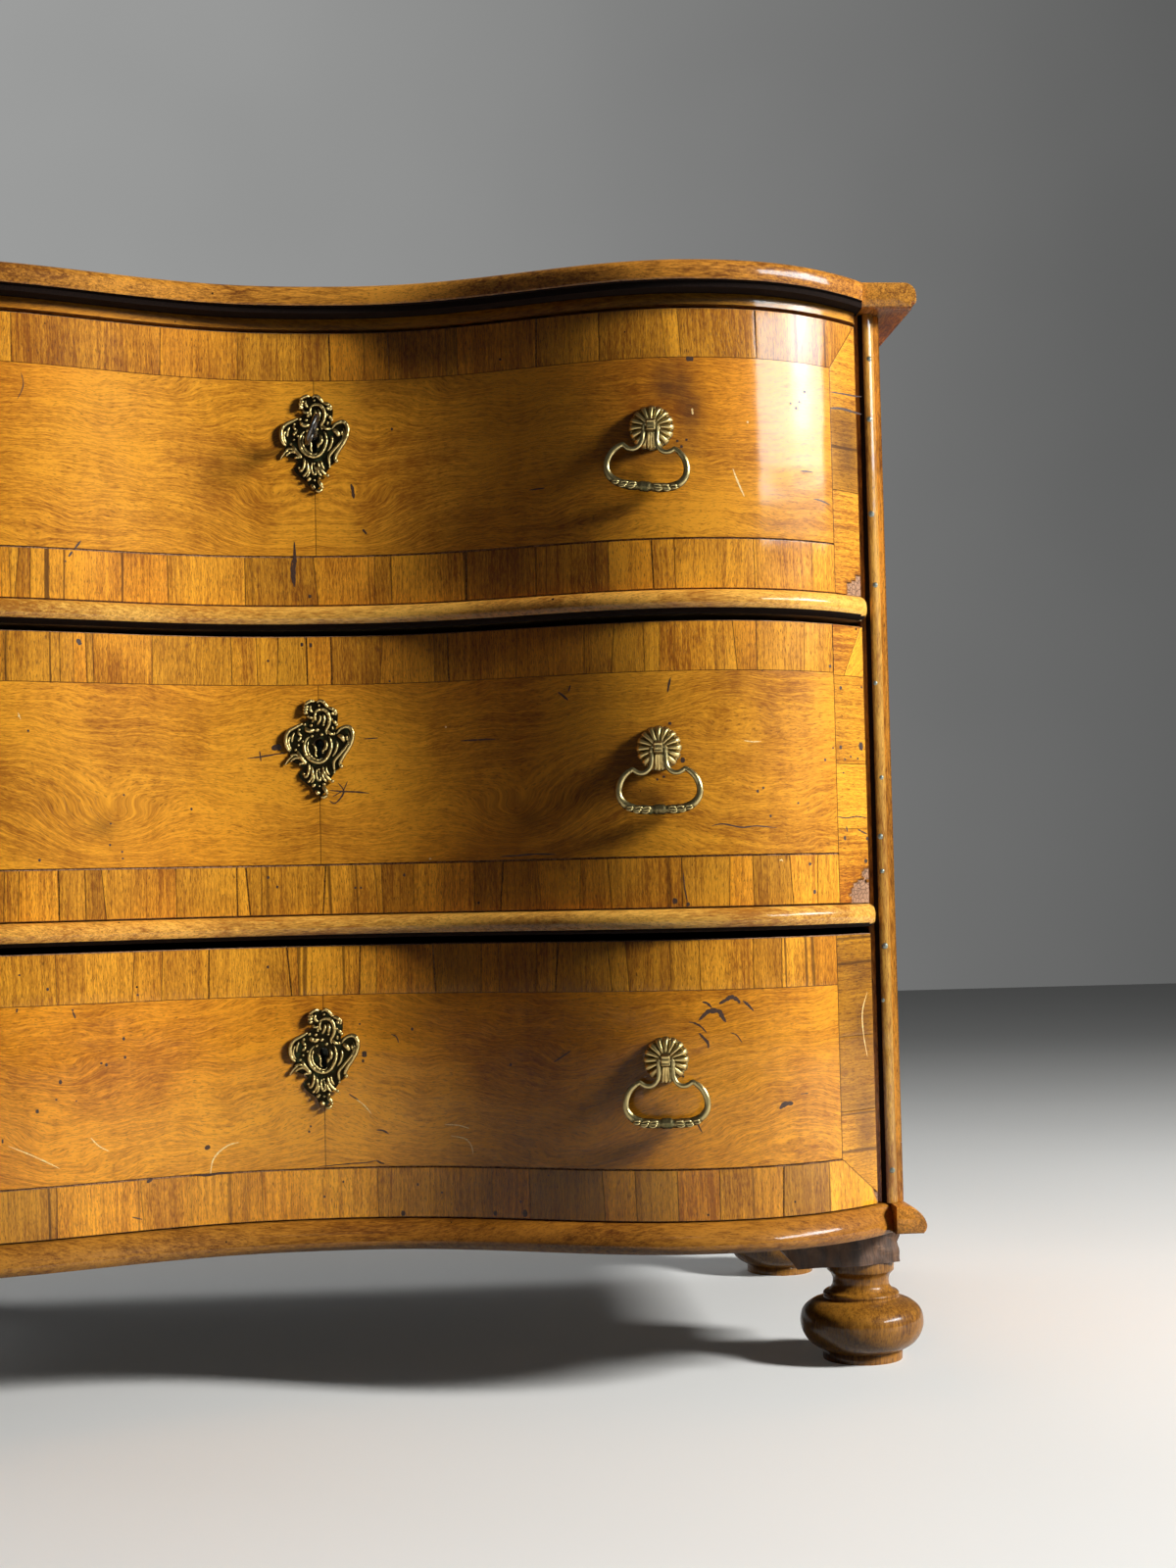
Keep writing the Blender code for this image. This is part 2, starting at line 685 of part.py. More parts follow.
def build_rosette(name, place, brass):
    """Fluted dome, block and leaf, and the screw with its nut behind the drawer front."""
    steps = 2 * rosette_flutes
    shoulder = (rosette_radius + rosette_eye_radius) / 2
    rings = (
        (rosette_radius, 0.0), (rosette_radius, rosette_rim), (shoulder, rosette_dome),
        (rosette_eye_radius, rosette_dome),
    )
    loops = []
    for (radius, out), depth in zip(rings, flute_depth_shares):
        loop = []
        for i in range(steps):
            reach = radius * (1 - flute_share * depth * (i % 2))
            angle = 2 * math.pi * i / steps
            loop.append((reach * math.cos(angle), reach * math.sin(angle), out + fit))
        loops.append(loop)
    rosette = make_object(name, outward(loft(loops)), brass, 30)
    low = (-block_half_width, -block_stem_length, -block_half_height)
    stem = box(low, (block_half_width, -rosette_rim, block_half_height))
    leaf_ends = (
        (leaf_neck_half_width, leaf_neck_out, -block_half_height / 2),
        (leaf_tip_half_width, leaf_tip_out, -leaf_drop),
    )
    leaf_back = -(fit + rosette_rim) / 2
    loops = []
    for half, out, z in leaf_ends:
        loops.append([(-half, -out, z), (half, -out, z), (half, leaf_back, z), (-half, leaf_back, z)])
    leaf = loft(loops)
    through = front_thickness * math.cos(place.to_euler().z)
    nut_z = -through - nut_reach
    screw = [(nut_radius, nut_z - nut_height), (nut_radius, nut_z), (shank_radius, nut_z)]
    screw.append((shank_radius, rosette_rim))
    carve(rosette, [stem, leaf, outward(turned(screw, shank_steps))], "UNION")
    bore = pin_radius + pin_clearance
    end = block_half_width + overrun
    hole = turned([(bore, -end), (bore, end)], shank_steps)
    hole.transform(Matrix.Translation((0, -pivot_standoff, 0)) @ Matrix.Rotation(math.pi / 2, 4, "Y"))
    carve(rosette, [hole])
    rosette.matrix_world = place
    return rosette


def bail_mesh():
    """A bail about its own pivot: pins turned inwards, close arms, cusped loop and a swelling bar."""
    arm_x = block_half_width + arm_clearance + arm_radius
    spread = bail_half_width - arm_x
    arm = [(arm_x, 0.0, 0.0)]
    for across, down, swell in arm_path_shares:
        arm.append((arm_x + spread * across, -bail_drop * down, swell))
    loop = [arm[-1]]
    for across, down, swell in loop_path_shares:
        loop.append((arm_x + spread * across, -bail_drop * down, swell))
    loop.append((0.0, -bail_drop, 1.0))
    loop.append((-loop[-2][0], loop[-2][1], loop[-2][2]))
    half = arm[:-1] + smooth_path(loop, 2)[:-2]
    right = [(x, z, arm_radius + (bar_radius - arm_radius) * swell) for x, z, swell in half]
    pin_in = (block_half_width - pin_seat, 0.0, pin_radius)
    pin_out = (block_half_width + arm_clearance, 0.0, pin_radius)
    right = [pin_in, pin_out] + right
    path = right + [(-x, z, radius) for x, z, radius in right[-2::-1]]
    loops = []
    for i, (x, z, radius) in enumerate(path):
        before = path[max(i - 1, 0)]
        after = path[min(i + 1, len(path) - 1)]
        length = math.hypot(after[0] - before[0], after[1] - before[1])
        side_x = -(after[1] - before[1]) / length
        side_z = (after[0] - before[0]) / length
        deep = radius if radius <= arm_radius else arm_radius + (radius - arm_radius) * bar_flatness_share
        loop = []
        for k in range(bail_sides):
            turn = 2 * math.pi * (k + 1 / 2) / bail_sides
            out = radius * math.cos(turn)
            loop.append((x + side_x * out, deep * math.sin(turn), z + side_z * out))
        loops.append(loop)
    return loft(loops)


def build_handles(level, brass):
    fixed = []
    for side, hand in (("left", -1), ("right", 1)):
        place = handle_frame(hand * handle_reach, floors[level] + handle_heights[level])
        fixed.append(build_rosette("rosette_" + level + "_" + side, place, brass))
        bail = make_object("bail_" + level + "_" + side, bail_mesh(), brass, 50)
        bail.matrix_world = place @ Matrix.Translation((0, -pivot_standoff, 0))
        fixed.append(bail)
    return fixed


def main():
    for item in list(bpy.data.objects):
        bpy.data.objects.remove(item)
    veneer = make_material("walnut_veneer", (0.34, 0.15, 0.045), 0.32)
    moulding = make_material("walnut_moulding", (0.30, 0.13, 0.045), 0.35)
    pine = make_material("pine", (0.42, 0.27, 0.13), 0.75)
    dark = make_material("stained_wood", (0.075, 0.035, 0.018), 0.55)
    brass = make_material("aged_brass", (0.36, 0.25, 0.11), 0.42, 1.0)
    steel = make_material("old_steel", (0.22, 0.21, 0.19), 0.45, 1.0)
    build_case(pine, veneer)
    build_beads(moulding)
    build_mouldings(veneer, moulding)
    build_feet(dark)
    for level in ("lower", "middle", "upper"):
        slide = bpy.data.objects.new("drawer_" + level + "_slide", None)
        bpy.context.collection.objects.link(slide)
        slide.location = (0.0, hollow_y, floors[level])
        parts = build_drawer(level, pine, veneer)
        parts.append(build_lock(level, steel))
        parts.append(build_escutcheon(level, brass))
        parts += build_handles(level, brass)
        if level == "upper":
            parts += [build_key(steel), build_bolt(steel)]
        bpy.context.view_layer.update()
        for item in parts:
            item.parent = slide
            item.matrix_parent_inverse = slide.matrix_world.inverted()


main()
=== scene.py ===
"""Serpentine chest of drawers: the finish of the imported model, laid out as a Blender add-on.

Every drawer front carries real veneers, one piece to each segment of the crossbands and a
book-matched pair in the middle. All plan lines follow one curve, front_line.
"""
import math
import random
from itertools import product

import bmesh
import bpy
import numpy as np
from bpy.props import FloatProperty, FloatVectorProperty, IntProperty, PointerProperty
from mathutils import Matrix, Vector, noise


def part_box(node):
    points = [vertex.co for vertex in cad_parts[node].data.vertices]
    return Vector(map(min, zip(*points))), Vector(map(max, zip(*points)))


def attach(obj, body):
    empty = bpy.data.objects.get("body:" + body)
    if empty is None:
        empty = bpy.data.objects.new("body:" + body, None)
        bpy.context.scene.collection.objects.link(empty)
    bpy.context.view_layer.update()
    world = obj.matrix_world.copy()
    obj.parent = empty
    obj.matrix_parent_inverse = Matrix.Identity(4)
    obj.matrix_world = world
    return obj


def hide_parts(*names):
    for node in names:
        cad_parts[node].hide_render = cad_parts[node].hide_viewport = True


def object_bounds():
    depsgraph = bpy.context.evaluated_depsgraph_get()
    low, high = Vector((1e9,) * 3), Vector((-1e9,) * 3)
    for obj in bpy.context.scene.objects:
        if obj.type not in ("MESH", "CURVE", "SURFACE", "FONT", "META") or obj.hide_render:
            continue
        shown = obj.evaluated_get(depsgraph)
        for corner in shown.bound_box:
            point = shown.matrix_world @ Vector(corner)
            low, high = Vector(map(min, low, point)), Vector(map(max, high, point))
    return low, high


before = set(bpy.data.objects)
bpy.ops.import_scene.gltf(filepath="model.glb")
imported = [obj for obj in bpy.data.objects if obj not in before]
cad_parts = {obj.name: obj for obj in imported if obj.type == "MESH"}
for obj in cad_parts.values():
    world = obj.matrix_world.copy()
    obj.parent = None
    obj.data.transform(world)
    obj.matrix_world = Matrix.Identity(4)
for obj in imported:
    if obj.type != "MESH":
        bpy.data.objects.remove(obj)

bl_info = {
    "name": "Serpentine chest of drawers",
    "version": (1, 0, 0),
    "blender": (4, 5, 0),
    "location": "View3D > Sidebar > Chest",
    "description": "Veneers, mouldings, brasses and finishes for a serpentine chest of drawers",
    "category": "Object",
}

cad_low, cad_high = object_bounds()
levels = ("upper", "middle", "lower")
keyholes = {"upper": 0.732, "middle": 0.495, "lower": 0.258}
handle_heights = {"upper": 0.723, "middle": 0.482, "lower": 0.251}
handle_reach = 0.255
pin_out = 0.011
key_turn = math.radians(21)
hollow_y = -0.1975
case_half = 0.444
opening_half = 0.424
drawer_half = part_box("drawer_front_upper")[1].x
lower_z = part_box("bottom_board")[1].z
base_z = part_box("bottom_board")[0].z
top_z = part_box("top_board")[0].z
total_height = cad_high.z
rear_y = cad_high.y


def length(name, description, default):
    return FloatProperty(name=name, description=description, default=default, unit="LENGTH")


def colour(name, description, *default):
    return FloatVectorProperty(name=name, description=description, default=default, subtype="COLOR")


class ChestSizes(bpy.types.PropertyGroup):
    """Sizes of the finish. The frame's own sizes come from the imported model."""

    bow_depth: length("Bow depth", "How far the two bows stand in front of the hollow", 0.074)
    bow_reach: length("Bow reach", "Distance of a bow's crest from the middle", 0.285)
    bow_power: FloatProperty(name="Bow power", description="How flat the hollow is beside the bows", default=1.25)
    end_return: length("End return", "How far the front sweeps back at the posts", 0.056)
    end_power: FloatProperty(name="End power", description="How late the front sweeps back", default=2.35)
    veneer: length("Veneer", "Thickness of the sawn veneers", 0.001)
    band: length("Crossband", "Height of the crossbands", 0.0375)
    joint: length("Joint", "Gap between two veneers", 0.00026)
    rim: length("Rim", "Width of the dirty, rounded edge of a veneer", 0.0005)
    petals: IntProperty(name="Petals", description="Flutes round a handle's rosette", default=16)
    nail: length("Nail head", "Radius of the nail heads in the posts", 0.0023)


class ChestColours(bpy.types.PropertyGroup):
    """Colours of the woods, the metals and the stage, in linear light."""

    field_light: colour("Field, light", "Light grain of the middle veneers", 0.86, 0.365, 0.022)
    field_dark: colour("Field, dark", "Dark grain of the middle veneers", 0.36, 0.118, 0.006)
    band_light: colour("Band, light", "Light grain of the crossbands", 0.90, 0.395, 0.026)
    band_dark: colour("Band, dark", "Dark grain of the crossbands", 0.30, 0.094, 0.006)
    solid_light: colour("Solid walnut, light", "Light grain of mouldings and feet", 0.80, 0.345, 0.040)
    solid_dark: colour("Solid walnut, dark", "Dark grain of mouldings and feet", 0.20, 0.066, 0.008)
    bead_light: colour("Beads, light", "Pale, worn grain of the half-round beads", 0.96, 0.52, 0.090)
    bead_dark: colour("Beads, dark", "Dark grain of the half-round beads", 0.40, 0.150, 0.016)
    pine: colour("Pine", "Inside boards", 0.43, 0.27, 0.12)
    brass: colour("Rubbed brass", "Brass where hands rub it", 0.66, 0.480, 0.185)
    # Patina of the hollows; it is also the painted shade of the escutcheon's ground plate.
    patina: colour("Patina", "Brass in the hollows", 0.026, 0.019, 0.008)
    bail: colour("Handled brass", "Brass of the bails, darker than the plates", 0.50, 0.39, 0.17)
    iron: colour("Old iron", "Locks and nails", 0.25, 0.26, 0.21)
    steel: colour("Steel", "The key", 0.13, 0.12, 0.11)
    floor: colour("Floor", "Pale studio floor", 0.80, 0.81, 0.80)
    wall: colour("Wall", "Plain backdrop", 0.360, 0.364, 0.360)


def sizes():
    return bpy.context.scene.chest_sizes


def colours():
    return bpy.context.scene.chest_colours


def front_line(x):
    """Plan curve of the front, relative to the hollow middle, smooth from post to post."""
    s = sizes()
    reach = abs(x)
    if reach <= s.bow_reach:
        swing = (1 - math.cos(math.pi * reach / s.bow_reach)) / 2
        return -s.bow_depth * swing ** s.bow_power
    run = (reach - s.bow_reach) / (opening_half - s.bow_reach)
    return -s.bow_depth + s.end_return * run ** s.end_power


def slope_at(x):
    step = 0.0005
    return (front_line(x + step) - front_line(x - step)) / (2 * step)


def on_front(x, z, out=0.0):
    """A point at a height on the front, a distance out of it along its own normal."""
    slope = slope_at(x)
    return Vector((x, hollow_y + front_line(x) - out * math.sqrt(1 + slope * slope), z))


def run_along(x):
    """Distance along the front from its middle, for veneers that are laid round the curve."""
    steps = max(int(abs(x) / 0.004), 1)
    total = 0.0
    for i in range(steps):
        total += math.sqrt(1 + slope_at(abs(x) * (i + 0.5) / steps) ** 2)
    return math.copysign(total * abs(x) / steps, x)


# Finishes

class Wire:
    """One output of a node. It takes part in sums as a number does."""

    def __init__(self, bench, socket):
        self.bench, self.socket = bench, socket

    def __add__(self, other):
        return self.bench.math("ADD", self, other)

    def __sub__(self, other):
        return self.bench.math("SUBTRACT", self, other)

    def __rsub__(self, other):
        return self.bench.math("SUBTRACT", other, self)

    def __mul__(self, other):
        return self.bench.math("MULTIPLY", self, other)

    def __truediv__(self, other):
        return self.bench.math("DIVIDE", self, other)

    def __pow__(self, other):
        return self.bench.math("POWER", self, other)

    def __abs__(self):
        return self.bench.math("ABSOLUTE", self)

    __radd__, __rmul__ = __add__, __mul__


class NodeBench:
    """Adds nodes to one tree. A value may be a number, a tuple, a material or a wire."""

    def __init__(self, tree):
        self.tree = tree

    def feed(self, node, values):
        for key, value in values.items():
            if isinstance(value, Wire):
                self.tree.links.new(value.socket, node.inputs[key])
            elif value is not None:
                node.inputs[key].default_value = value

    def node(self, kind, values=None, **settings):
        node = self.tree.nodes.new(kind)
        for key, value in settings.items():
            setattr(node, key, value)
        self.feed(node, values or {})
        return node

    def wires(self, node):
        return {key: Wire(self, s) for i, s in enumerate(node.outputs) for key in (i, s.name)}

    def add(self, kind, values=None, out=0, **settings):
        """A new node; gives one of its outputs."""
        return Wire(self, self.node(kind, values, **settings).outputs[out])

    def math(self, operation, a, b=None, c=None, clamp=False):
        return self.add("ShaderNodeMath", {0: a, 1: b, 2: c}, operation=operation, use_clamp=clamp)

    def noise(self, place, stretch, detail=2.0, rough=0.55):
        scaled = self.add("ShaderNodeVectorMath", {0: place, 1: stretch}, operation="MULTIPLY")
        return self.add("ShaderNodeTexNoise", {"Vector": scaled, "Scale": 1.0, "Detail": detail, "Roughness": rough})

    def span(self, value, low, high, to_low=0.0, to_high=1.0):
        return self.add("ShaderNodeMapRange", {0: value, 1: low, 2: high, 3: to_low, 4: to_high},
                interpolation_type="SMOOTHSTEP")

    def blend(self, factor, a, b, kind="MIX"):
        a, b = (v if isinstance(v, Wire) else (*v[:3], 1.0) for v in (a, b))
        return self.add("ShaderNodeMix", {0: factor, 6: a, 7: b}, 2, data_type="RGBA", blend_type=kind)

    def shade(self, colour, value):
        """A colour times a grey value."""
        return self.blend(1.0, colour, self.add("ShaderNodeCombineColor", {0: value, 1: value, 2: value}), "MULTIPLY")

    def join(self, x=None, y=None, z=None):
        return self.add("ShaderNodeCombineXYZ", {0: x, 1: y, 2: z})

    def split(self, vector):
        return self.wires(self.node("ShaderNodeSeparateXYZ", {0: vector}))

    def attribute(self, name):
        return self.add("ShaderNodeAttribute", None, "Fac", attribute_name=name)

    def place(self):
        return self.add("ShaderNodeTexCoord", None, "Object")

    def bump(self, strength, distance, height, over=None):
        return self.add("ShaderNodeBump", {"Strength": strength, "Distance": distance, "Height": height,
                "Normal": over})

    def mound(self, place, centre, across):
        """A smooth hill of height 1 at a centre, with its half widths along and across the grain."""
        away = self.add("ShaderNodeVectorMath", {0: place, 1: (*centre, 0.0)}, operation="SUBTRACT")
        away = self.add("ShaderNodeVectorMath", {0: away, 1: (1 / across[0], 1 / across[1], 0.0)}, operation="MULTIPLY")
        return self.math("EXPONENT", self.add("ShaderNodeVectorMath", {0: away, 1: away}, "Value",
                operation="DOT_PRODUCT") * -1.0)


def new_finish(name):
    material = bpy.data.materials.new(name)
    material.use_nodes = True
    return material, NodeBench(material.node_tree)


def finished(material, bench, colour, rough, **others):
    """Feed the shader: its colour, its roughness and other sockets, named with _ for a blank."""
    values = {key.replace("_", " ").replace("Ior", "IOR"): value for key, value in others.items()}
    bench.feed(material.node_tree.nodes["Principled BSDF"], {"Base Color": colour, "Roughness": rough, **values})
    return material


def wood(name, light, dark, along="UV", sway=0.004, rings=95.0, knots=(), figure=0.5, ripple=0.10, crests=0.0,
        lines=1.5,
         streaks=0.0, pores=0.5, holes=0.94, rough=0.42, coat=0.55, gloss=0.11, dash=42.0):
    """Polished or plain wood. Grain runs along U of the veneer's own map, or along an object axis."""
    material, bench = new_finish(name)
    if along == "UV":
        place = bench.add("ShaderNodeUVMap", uv_map="grain")
    else:
        parts = bench.split(bench.place())
        place = bench.join(*[parts[k] for k in {"X": (0, 1, 2), "Y": (1, 0, 2), "Z": (2, 0, 1)}[along]])
    lift = (bench.noise(place, (3.6, 4.6, 4.6), 1.0) - 0.5) * (sway * 5)
    lift += (bench.noise(place, (20.0, 30.0, 30.0), 1.0) - 0.5) * (sway * 0.8)
    heart = None
    for centre, across, height, darkness in knots:
        lift += bench.mound(place, centre, across) * height
        core = bench.mound(place, centre, (across[0] * 0.22, across[1] * 0.30)) * darkness
        heart = core if heart is None else heart + core
    grain = bench.add("ShaderNodeVectorMath", {0: place, 1: bench.join(y=lift)}, operation="ADD")

    def streaky(long, fine, detail, rough=0.55):
        return bench.noise(grain, (long, fine, fine), detail, rough)

    fibre = streaky(140.0, 800.0, 2.0, 0.7)
    pore = bench.span(streaky(210.0, 1500.0, 1.5), 0.58, 0.68)
    depth = bench.span(abs(streaky(5.0, rings * 1.3, 1.0) - 0.5), 0.0, 0.06, 1.0, 0.0) * -crests + 0.45
    for source, strength in ((streaky(rings * 0.11, rings, 2.0, 0.6), figure * 2.2),
            (streaky(dash, 350.0, 2.0, 0.6), lines),
                             (fibre, 1.9), (streaky(9.0, 13.0, 3.0), 1.9), (streaky(60.0, 14.0, 2.0), ripple * 4)):
        depth += (source - 0.5) * strength
    colour = bench.blend(depth, light, dark)
    seams = bench.span(streaky(1.2, rings * 2.4, 2.0), 0.60, 0.69)
    seams *= bench.math("MULTIPLY_ADD", bench.attribute("streak"), 0.85, streaks, clamp=True)
    colour = bench.blend(seams, colour, dimmed(dark, 0.22))
    warm = bench.span(bench.noise(place, (2.4, 5.0, 5.0), 1.0), 0.45, 0.7, 0.0, 0.4)
    colour = bench.blend(warm, colour, (1.10, 0.84, 0.58), "MULTIPLY")
    colour = bench.blend(pore * pores, colour, dimmed(dark, 0.25))
    if heart is not None:
        colour = bench.blend(bench.math("MINIMUM", heart, 0.8), colour, dimmed(dark, 0.35))
    colour = bench.shade(colour, (bench.attribute("tone") * 0.42 + 1.0) * (bench.attribute("rim") * -0.5 + 1.0))
    colour = bench.blend(bench.attribute("stain"), colour, (0.055, 0.020, 0.012))
    flecks = bench.wires(bench.node("ShaderNodeTexVoronoi", {"Vector": place, "Scale": 95.0, "Randomness": 1.0}))
    picks = bench.wires(bench.node("ShaderNodeSeparateColor", {0: flecks["Color"]}))
    hole = bench.math("LESS_THAN", flecks["Distance"], picks[1] * 0.07 + 0.04)
    hole = hole * bench.math("GREATER_THAN", picks[0], holes)
    colour = bench.blend(hole, colour, (0.012, 0.005, 0.003))
    low = bench.bump(0.5, 0.0012, bench.noise(place, (9.0, 16.0, 16.0), 2.0))
    fine = bench.bump(0.6, 0.00022, hole * -3.0 + (pore * -0.5 + fibre * 0.45), low)
    rough = bench.span(bench.noise(place, (14.0, 22.0, 22.0), 3.0), 0.35, 0.7, rough, rough + 0.18)
    return finished(material, bench, colour, rough, Coat_Weight=coat, Coat_Roughness=gloss, Specular_Ior_Level=0.12,
            Normal=fine, Coat_Normal=low)


def bare_wood(name):
    """Crackled, pale ground where a veneer is missing, and the drawer fronts' own wood."""
    material, bench = new_finish(name)
    crack = bench.add("ShaderNodeTexVoronoi", {"Vector": bench.place(), "Scale": 260.0}, feature="DISTANCE_TO_EDGE")
    colour = bench.blend(bench.noise(bench.place(), (60.0, 60.0, 900.0), 3.0), (0.52, 0.30, 0.17), (0.22, 0.10, 0.045))
    colour = bench.blend(bench.span(crack, 0.0, 0.12, 0.85, 0.0), colour, (0.06, 0.025, 0.01))
    return finished(material, bench, colour, 0.8, Normal=bench.bump(0.7, 0.0004, crack))


def pine(name, along):
    c = colours().pine
    return wood(name, c, dimmed(c, 0.45), along, rings=55.0, ripple=0.02, pores=0.1, holes=0.97, rough=0.62, coat=0.0)


def hewn_wood(name):
    """Dark, axe-cut wood of the foot blocks: no polish, chisel marks across."""
    material, bench = new_finish(name)
    turned = bench.add("ShaderNodeMapping", {"Vector": bench.place(), "Rotation": (0.3, 0.6, 0.5)})
    cuts = bench.noise(turned, (40.0, 260.0, 40.0), 3.0)
    grain = bench.noise(bench.place(), (20.0, 300.0, 500.0), 3.0)
    colour = bench.blend(bench.span(cuts, 0.3, 0.7), (0.040, 0.020, 0.011), (0.155, 0.075, 0.035))
    colour = bench.blend(bench.span(grain, 0.55, 0.75, 0.0, 0.5), colour, (0.26, 0.14, 0.07))
    return finished(material, bench, colour, 0.55, Normal=bench.bump(0.9, 0.0012, cuts))


def old_brass(name, bright):
    """Cast brass, bright where the attribute rub is high and dark in the hollows. That attribute holds real rubbing,
    and painted light on the bails and the escutcheon grounds.
    """
    material, bench = new_finish(name)
    spots = bench.noise(bench.place(), (420.0,) * 3, 3.0)
    rub = bench.span((spots - 0.5) * 0.5 + bench.attribute("rub"), 0.08, 0.72)
    colour = bench.blend(rub, colours().patina, bright)
    green = bench.span(bench.noise(bench.place(), (130.0,) * 3, 2.0), 0.52, 0.68, 0.0, 0.5) * (1.0 - rub)
    colour = bench.blend(green, colour, (0.07, 0.10, 0.045))
    return finished(material, bench, colour, bench.span(rub, 0.0, 1.0, 0.5, 0.30), Metallic=1.0,
            Normal=bench.bump(0.5, 0.00015, spots))


def old_iron(name, plain, smooth, rusty):
    """Iron or steel with patches of rust."""
    material, bench = new_finish(name)
    spots = bench.noise(bench.place(), (160.0,) * 3, 4.0)
    rust = bench.span(spots, rusty, rusty + 0.18)
    colour = bench.blend(rust, plain, (0.10, 0.045, 0.022))
    return finished(material, bench, colour, bench.span(rust, 0.0, 1.0, smooth, 0.75), Metallic=0.9,
            Normal=bench.bump(0.4, 0.0002, spots))


def flat_finish(name, colour, rough, shine=0.5):
    """One colour with a slight grain, for scratches, blots and the near-black painted shade."""
    material, bench = new_finish(name)
    spots = bench.span(bench.noise(bench.place(), (900.0,) * 3, 2.0), 0.4, 0.65, 0.0, 0.6)
    colour = bench.blend(spots, colour, [min(c * 2.6, 1.0) for c in colour])
    return finished(material, bench, colour, rough, Specular_Ior_Level=shine)


def dimmed(colour, share):
    return [value * share for value in colour]


# Eyes of the figure: place in the flow, size each way, height and darkness
field_knots = (
    ((0.300, 0.030), (0.060, 0.030), 0.030, 0.10),
    ((0.030, 1.020), (0.060, 0.024), 0.011, 0.05),
    ((0.165, 2.030), (0.055, 0.026), 0.034, 0.55),
    ((0.320, 2.118), (0.050, 0.024), -0.020, 0.05),
    ((0.230, 3.012), (0.070, 0.026), 0.013, 0.05),
    ((0.060, 3.020), (0.060, 0.024), 0.010, 0.05),
)


worn = dict(rings=60.0, ripple=0.03, holes=0.93, coat=0.65, gloss=0.09)
dull = dict(worn, coat=0.6, gloss=0.12)

# The woods: colours, the share kept of the light and of the dark one, the way of the grain, and the figure
woods = {
    "field_veneer": ("field", 1, 1, "UV", dict(sway=0.020, rings=120.0, knots=field_knots, figure=0.24, ripple=0.16,
            crests=0.32, lines=0.85, pores=0.45, holes=0.975)),
    "band_veneer": ("band", 1, 1, "UV", dict(sway=0.003, rings=70.0, figure=0.30, ripple=0.03, lines=1.5, pores=0.7,
            holes=0.95, dash=12.0)),
    "case_veneer_scene": ("field", 1, 1, "UV", dict(sway=0.012, rings=90.0, crests=0.2, pores=0.3, holes=0.975)),
    "walnut_long": ("solid", 1, 1, "X", dict(worn, streaks=0.15, figure=0.4)),
    "walnut_deep": ("solid", 1, 1, "Y", dict(worn, streaks=0.15, figure=0.4)),
    "walnut_upright": ("solid", 1, 1, "Z", dict(dull, streaks=0.2, rings=80.0, figure=0.4)),
    "worn_bead": ("bead", 1, 1, "X", dict(worn, streaks=0.2, rings=50.0)),
    "worn_post": ("bead", 0.66, 0.66, "Z", dict(worn, streaks=0.3)),
    "foot_walnut": ("solid", 0.50, 0.50, "Z", dict(dull, streaks=0.3)),
    "base_walnut": ("solid", 0.55, 0.70, "X", dict(worn, streaks=0.25, figure=0.4)),
}
other_finishes = {
    "pine_long": lambda name, c: pine(name, "X"),
    "pine_deep": lambda name, c: pine(name, "Y"),
    "ground_wood": lambda name, c: bare_wood(name),
    # Near-black finish used as painted shade under the top moulding and beads and beside the posts.
    "sooty_wood": lambda name, c: flat_finish(name, (0.006, 0.003, 0.002), 0.9, 0.1),
    "hewn_wood": lambda name, c: hewn_wood(name),
    "aged_brass": lambda name, c: old_brass(name, c.brass),
    "bail_brass": lambda name, c: old_brass(name, c.bail),
    "old_iron": lambda name, c: old_iron(name, c.iron, 0.38, 0.5),
    "key_steel_finish": lambda name, c: old_iron(name, c.steel, 0.24, 0.56),
    "dark_mark": lambda name, c: flat_finish(name, (0.035, 0.014, 0.006), 0.5),
    "pale_mark": lambda name, c: flat_finish(name, (0.90, 0.55, 0.20), 0.35),
}


def finish(name):
    """The finish of this name, made the first time that a piece asks for it."""
    if name in bpy.data.materials and bpy.data.materials[name].get("chest"):
        return bpy.data.materials[name]
    c = colours()
    if name in woods:
        kind, light, dark, along, figure = woods[name]
        light, dark = dimmed(getattr(c, kind + "_light"), light), dimmed(getattr(c, kind + "_dark"), dark)
        material = wood(name, light, dark, along, **figure)
    else:
        material = other_finishes[name](name, c)
    material["chest"] = True
    return material


# Shared shapes

def linked(name, data):
    item = bpy.data.objects.new(name, data)
    bpy.context.scene.collection.objects.link(item)
    return item


def new_piece(name, mesh, body, material, replaces=(), smooth=40):
    """Hand a finished mesh to the model: its finish, the body it rides on and the nodes it stands for."""
    item = linked(name, mesh)
    if material is not None:
        mesh.materials.clear()
        mesh.materials.append(finish(material))
    if smooth is not None:
        mesh.shade_smooth()
        mesh.set_sharp_from_angle(angle=math.radians(smooth))
    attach(item, body)
    if replaces:
        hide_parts(*replaces)
    return item


def mesh_from(points, faces, name="part", fix=True):
    mesh = bpy.data.meshes.new(name)
    mesh.from_pydata([tuple(p) for p in points], [], faces)
    if fix:
        work = bmesh.new()
        work.from_mesh(mesh)
        bmesh.ops.recalc_face_normals(work, faces=work.faces)
        work.to_mesh(mesh)
        work.free()
    return mesh


def loft(loops, closed=False):
    """A closed mesh through loops of equally many points, capped at both ends unless it closes."""
    points = [p for loop in loops for p in loop]
    count, rows = len(loops[0]), len(loops) if closed else len(loops) - 1
    faces = []
    for r, i in product(range(rows), range(count)):
        low, high, j = r * count, (r + 1) % len(loops) * count, (i + 1) % count
        faces.append((low + i, low + j, high + j, high + i))
    if not closed:
        faces += [tuple(range(count)), tuple(range(len(points) - count, len(points)))]
    return mesh_from(points, faces)


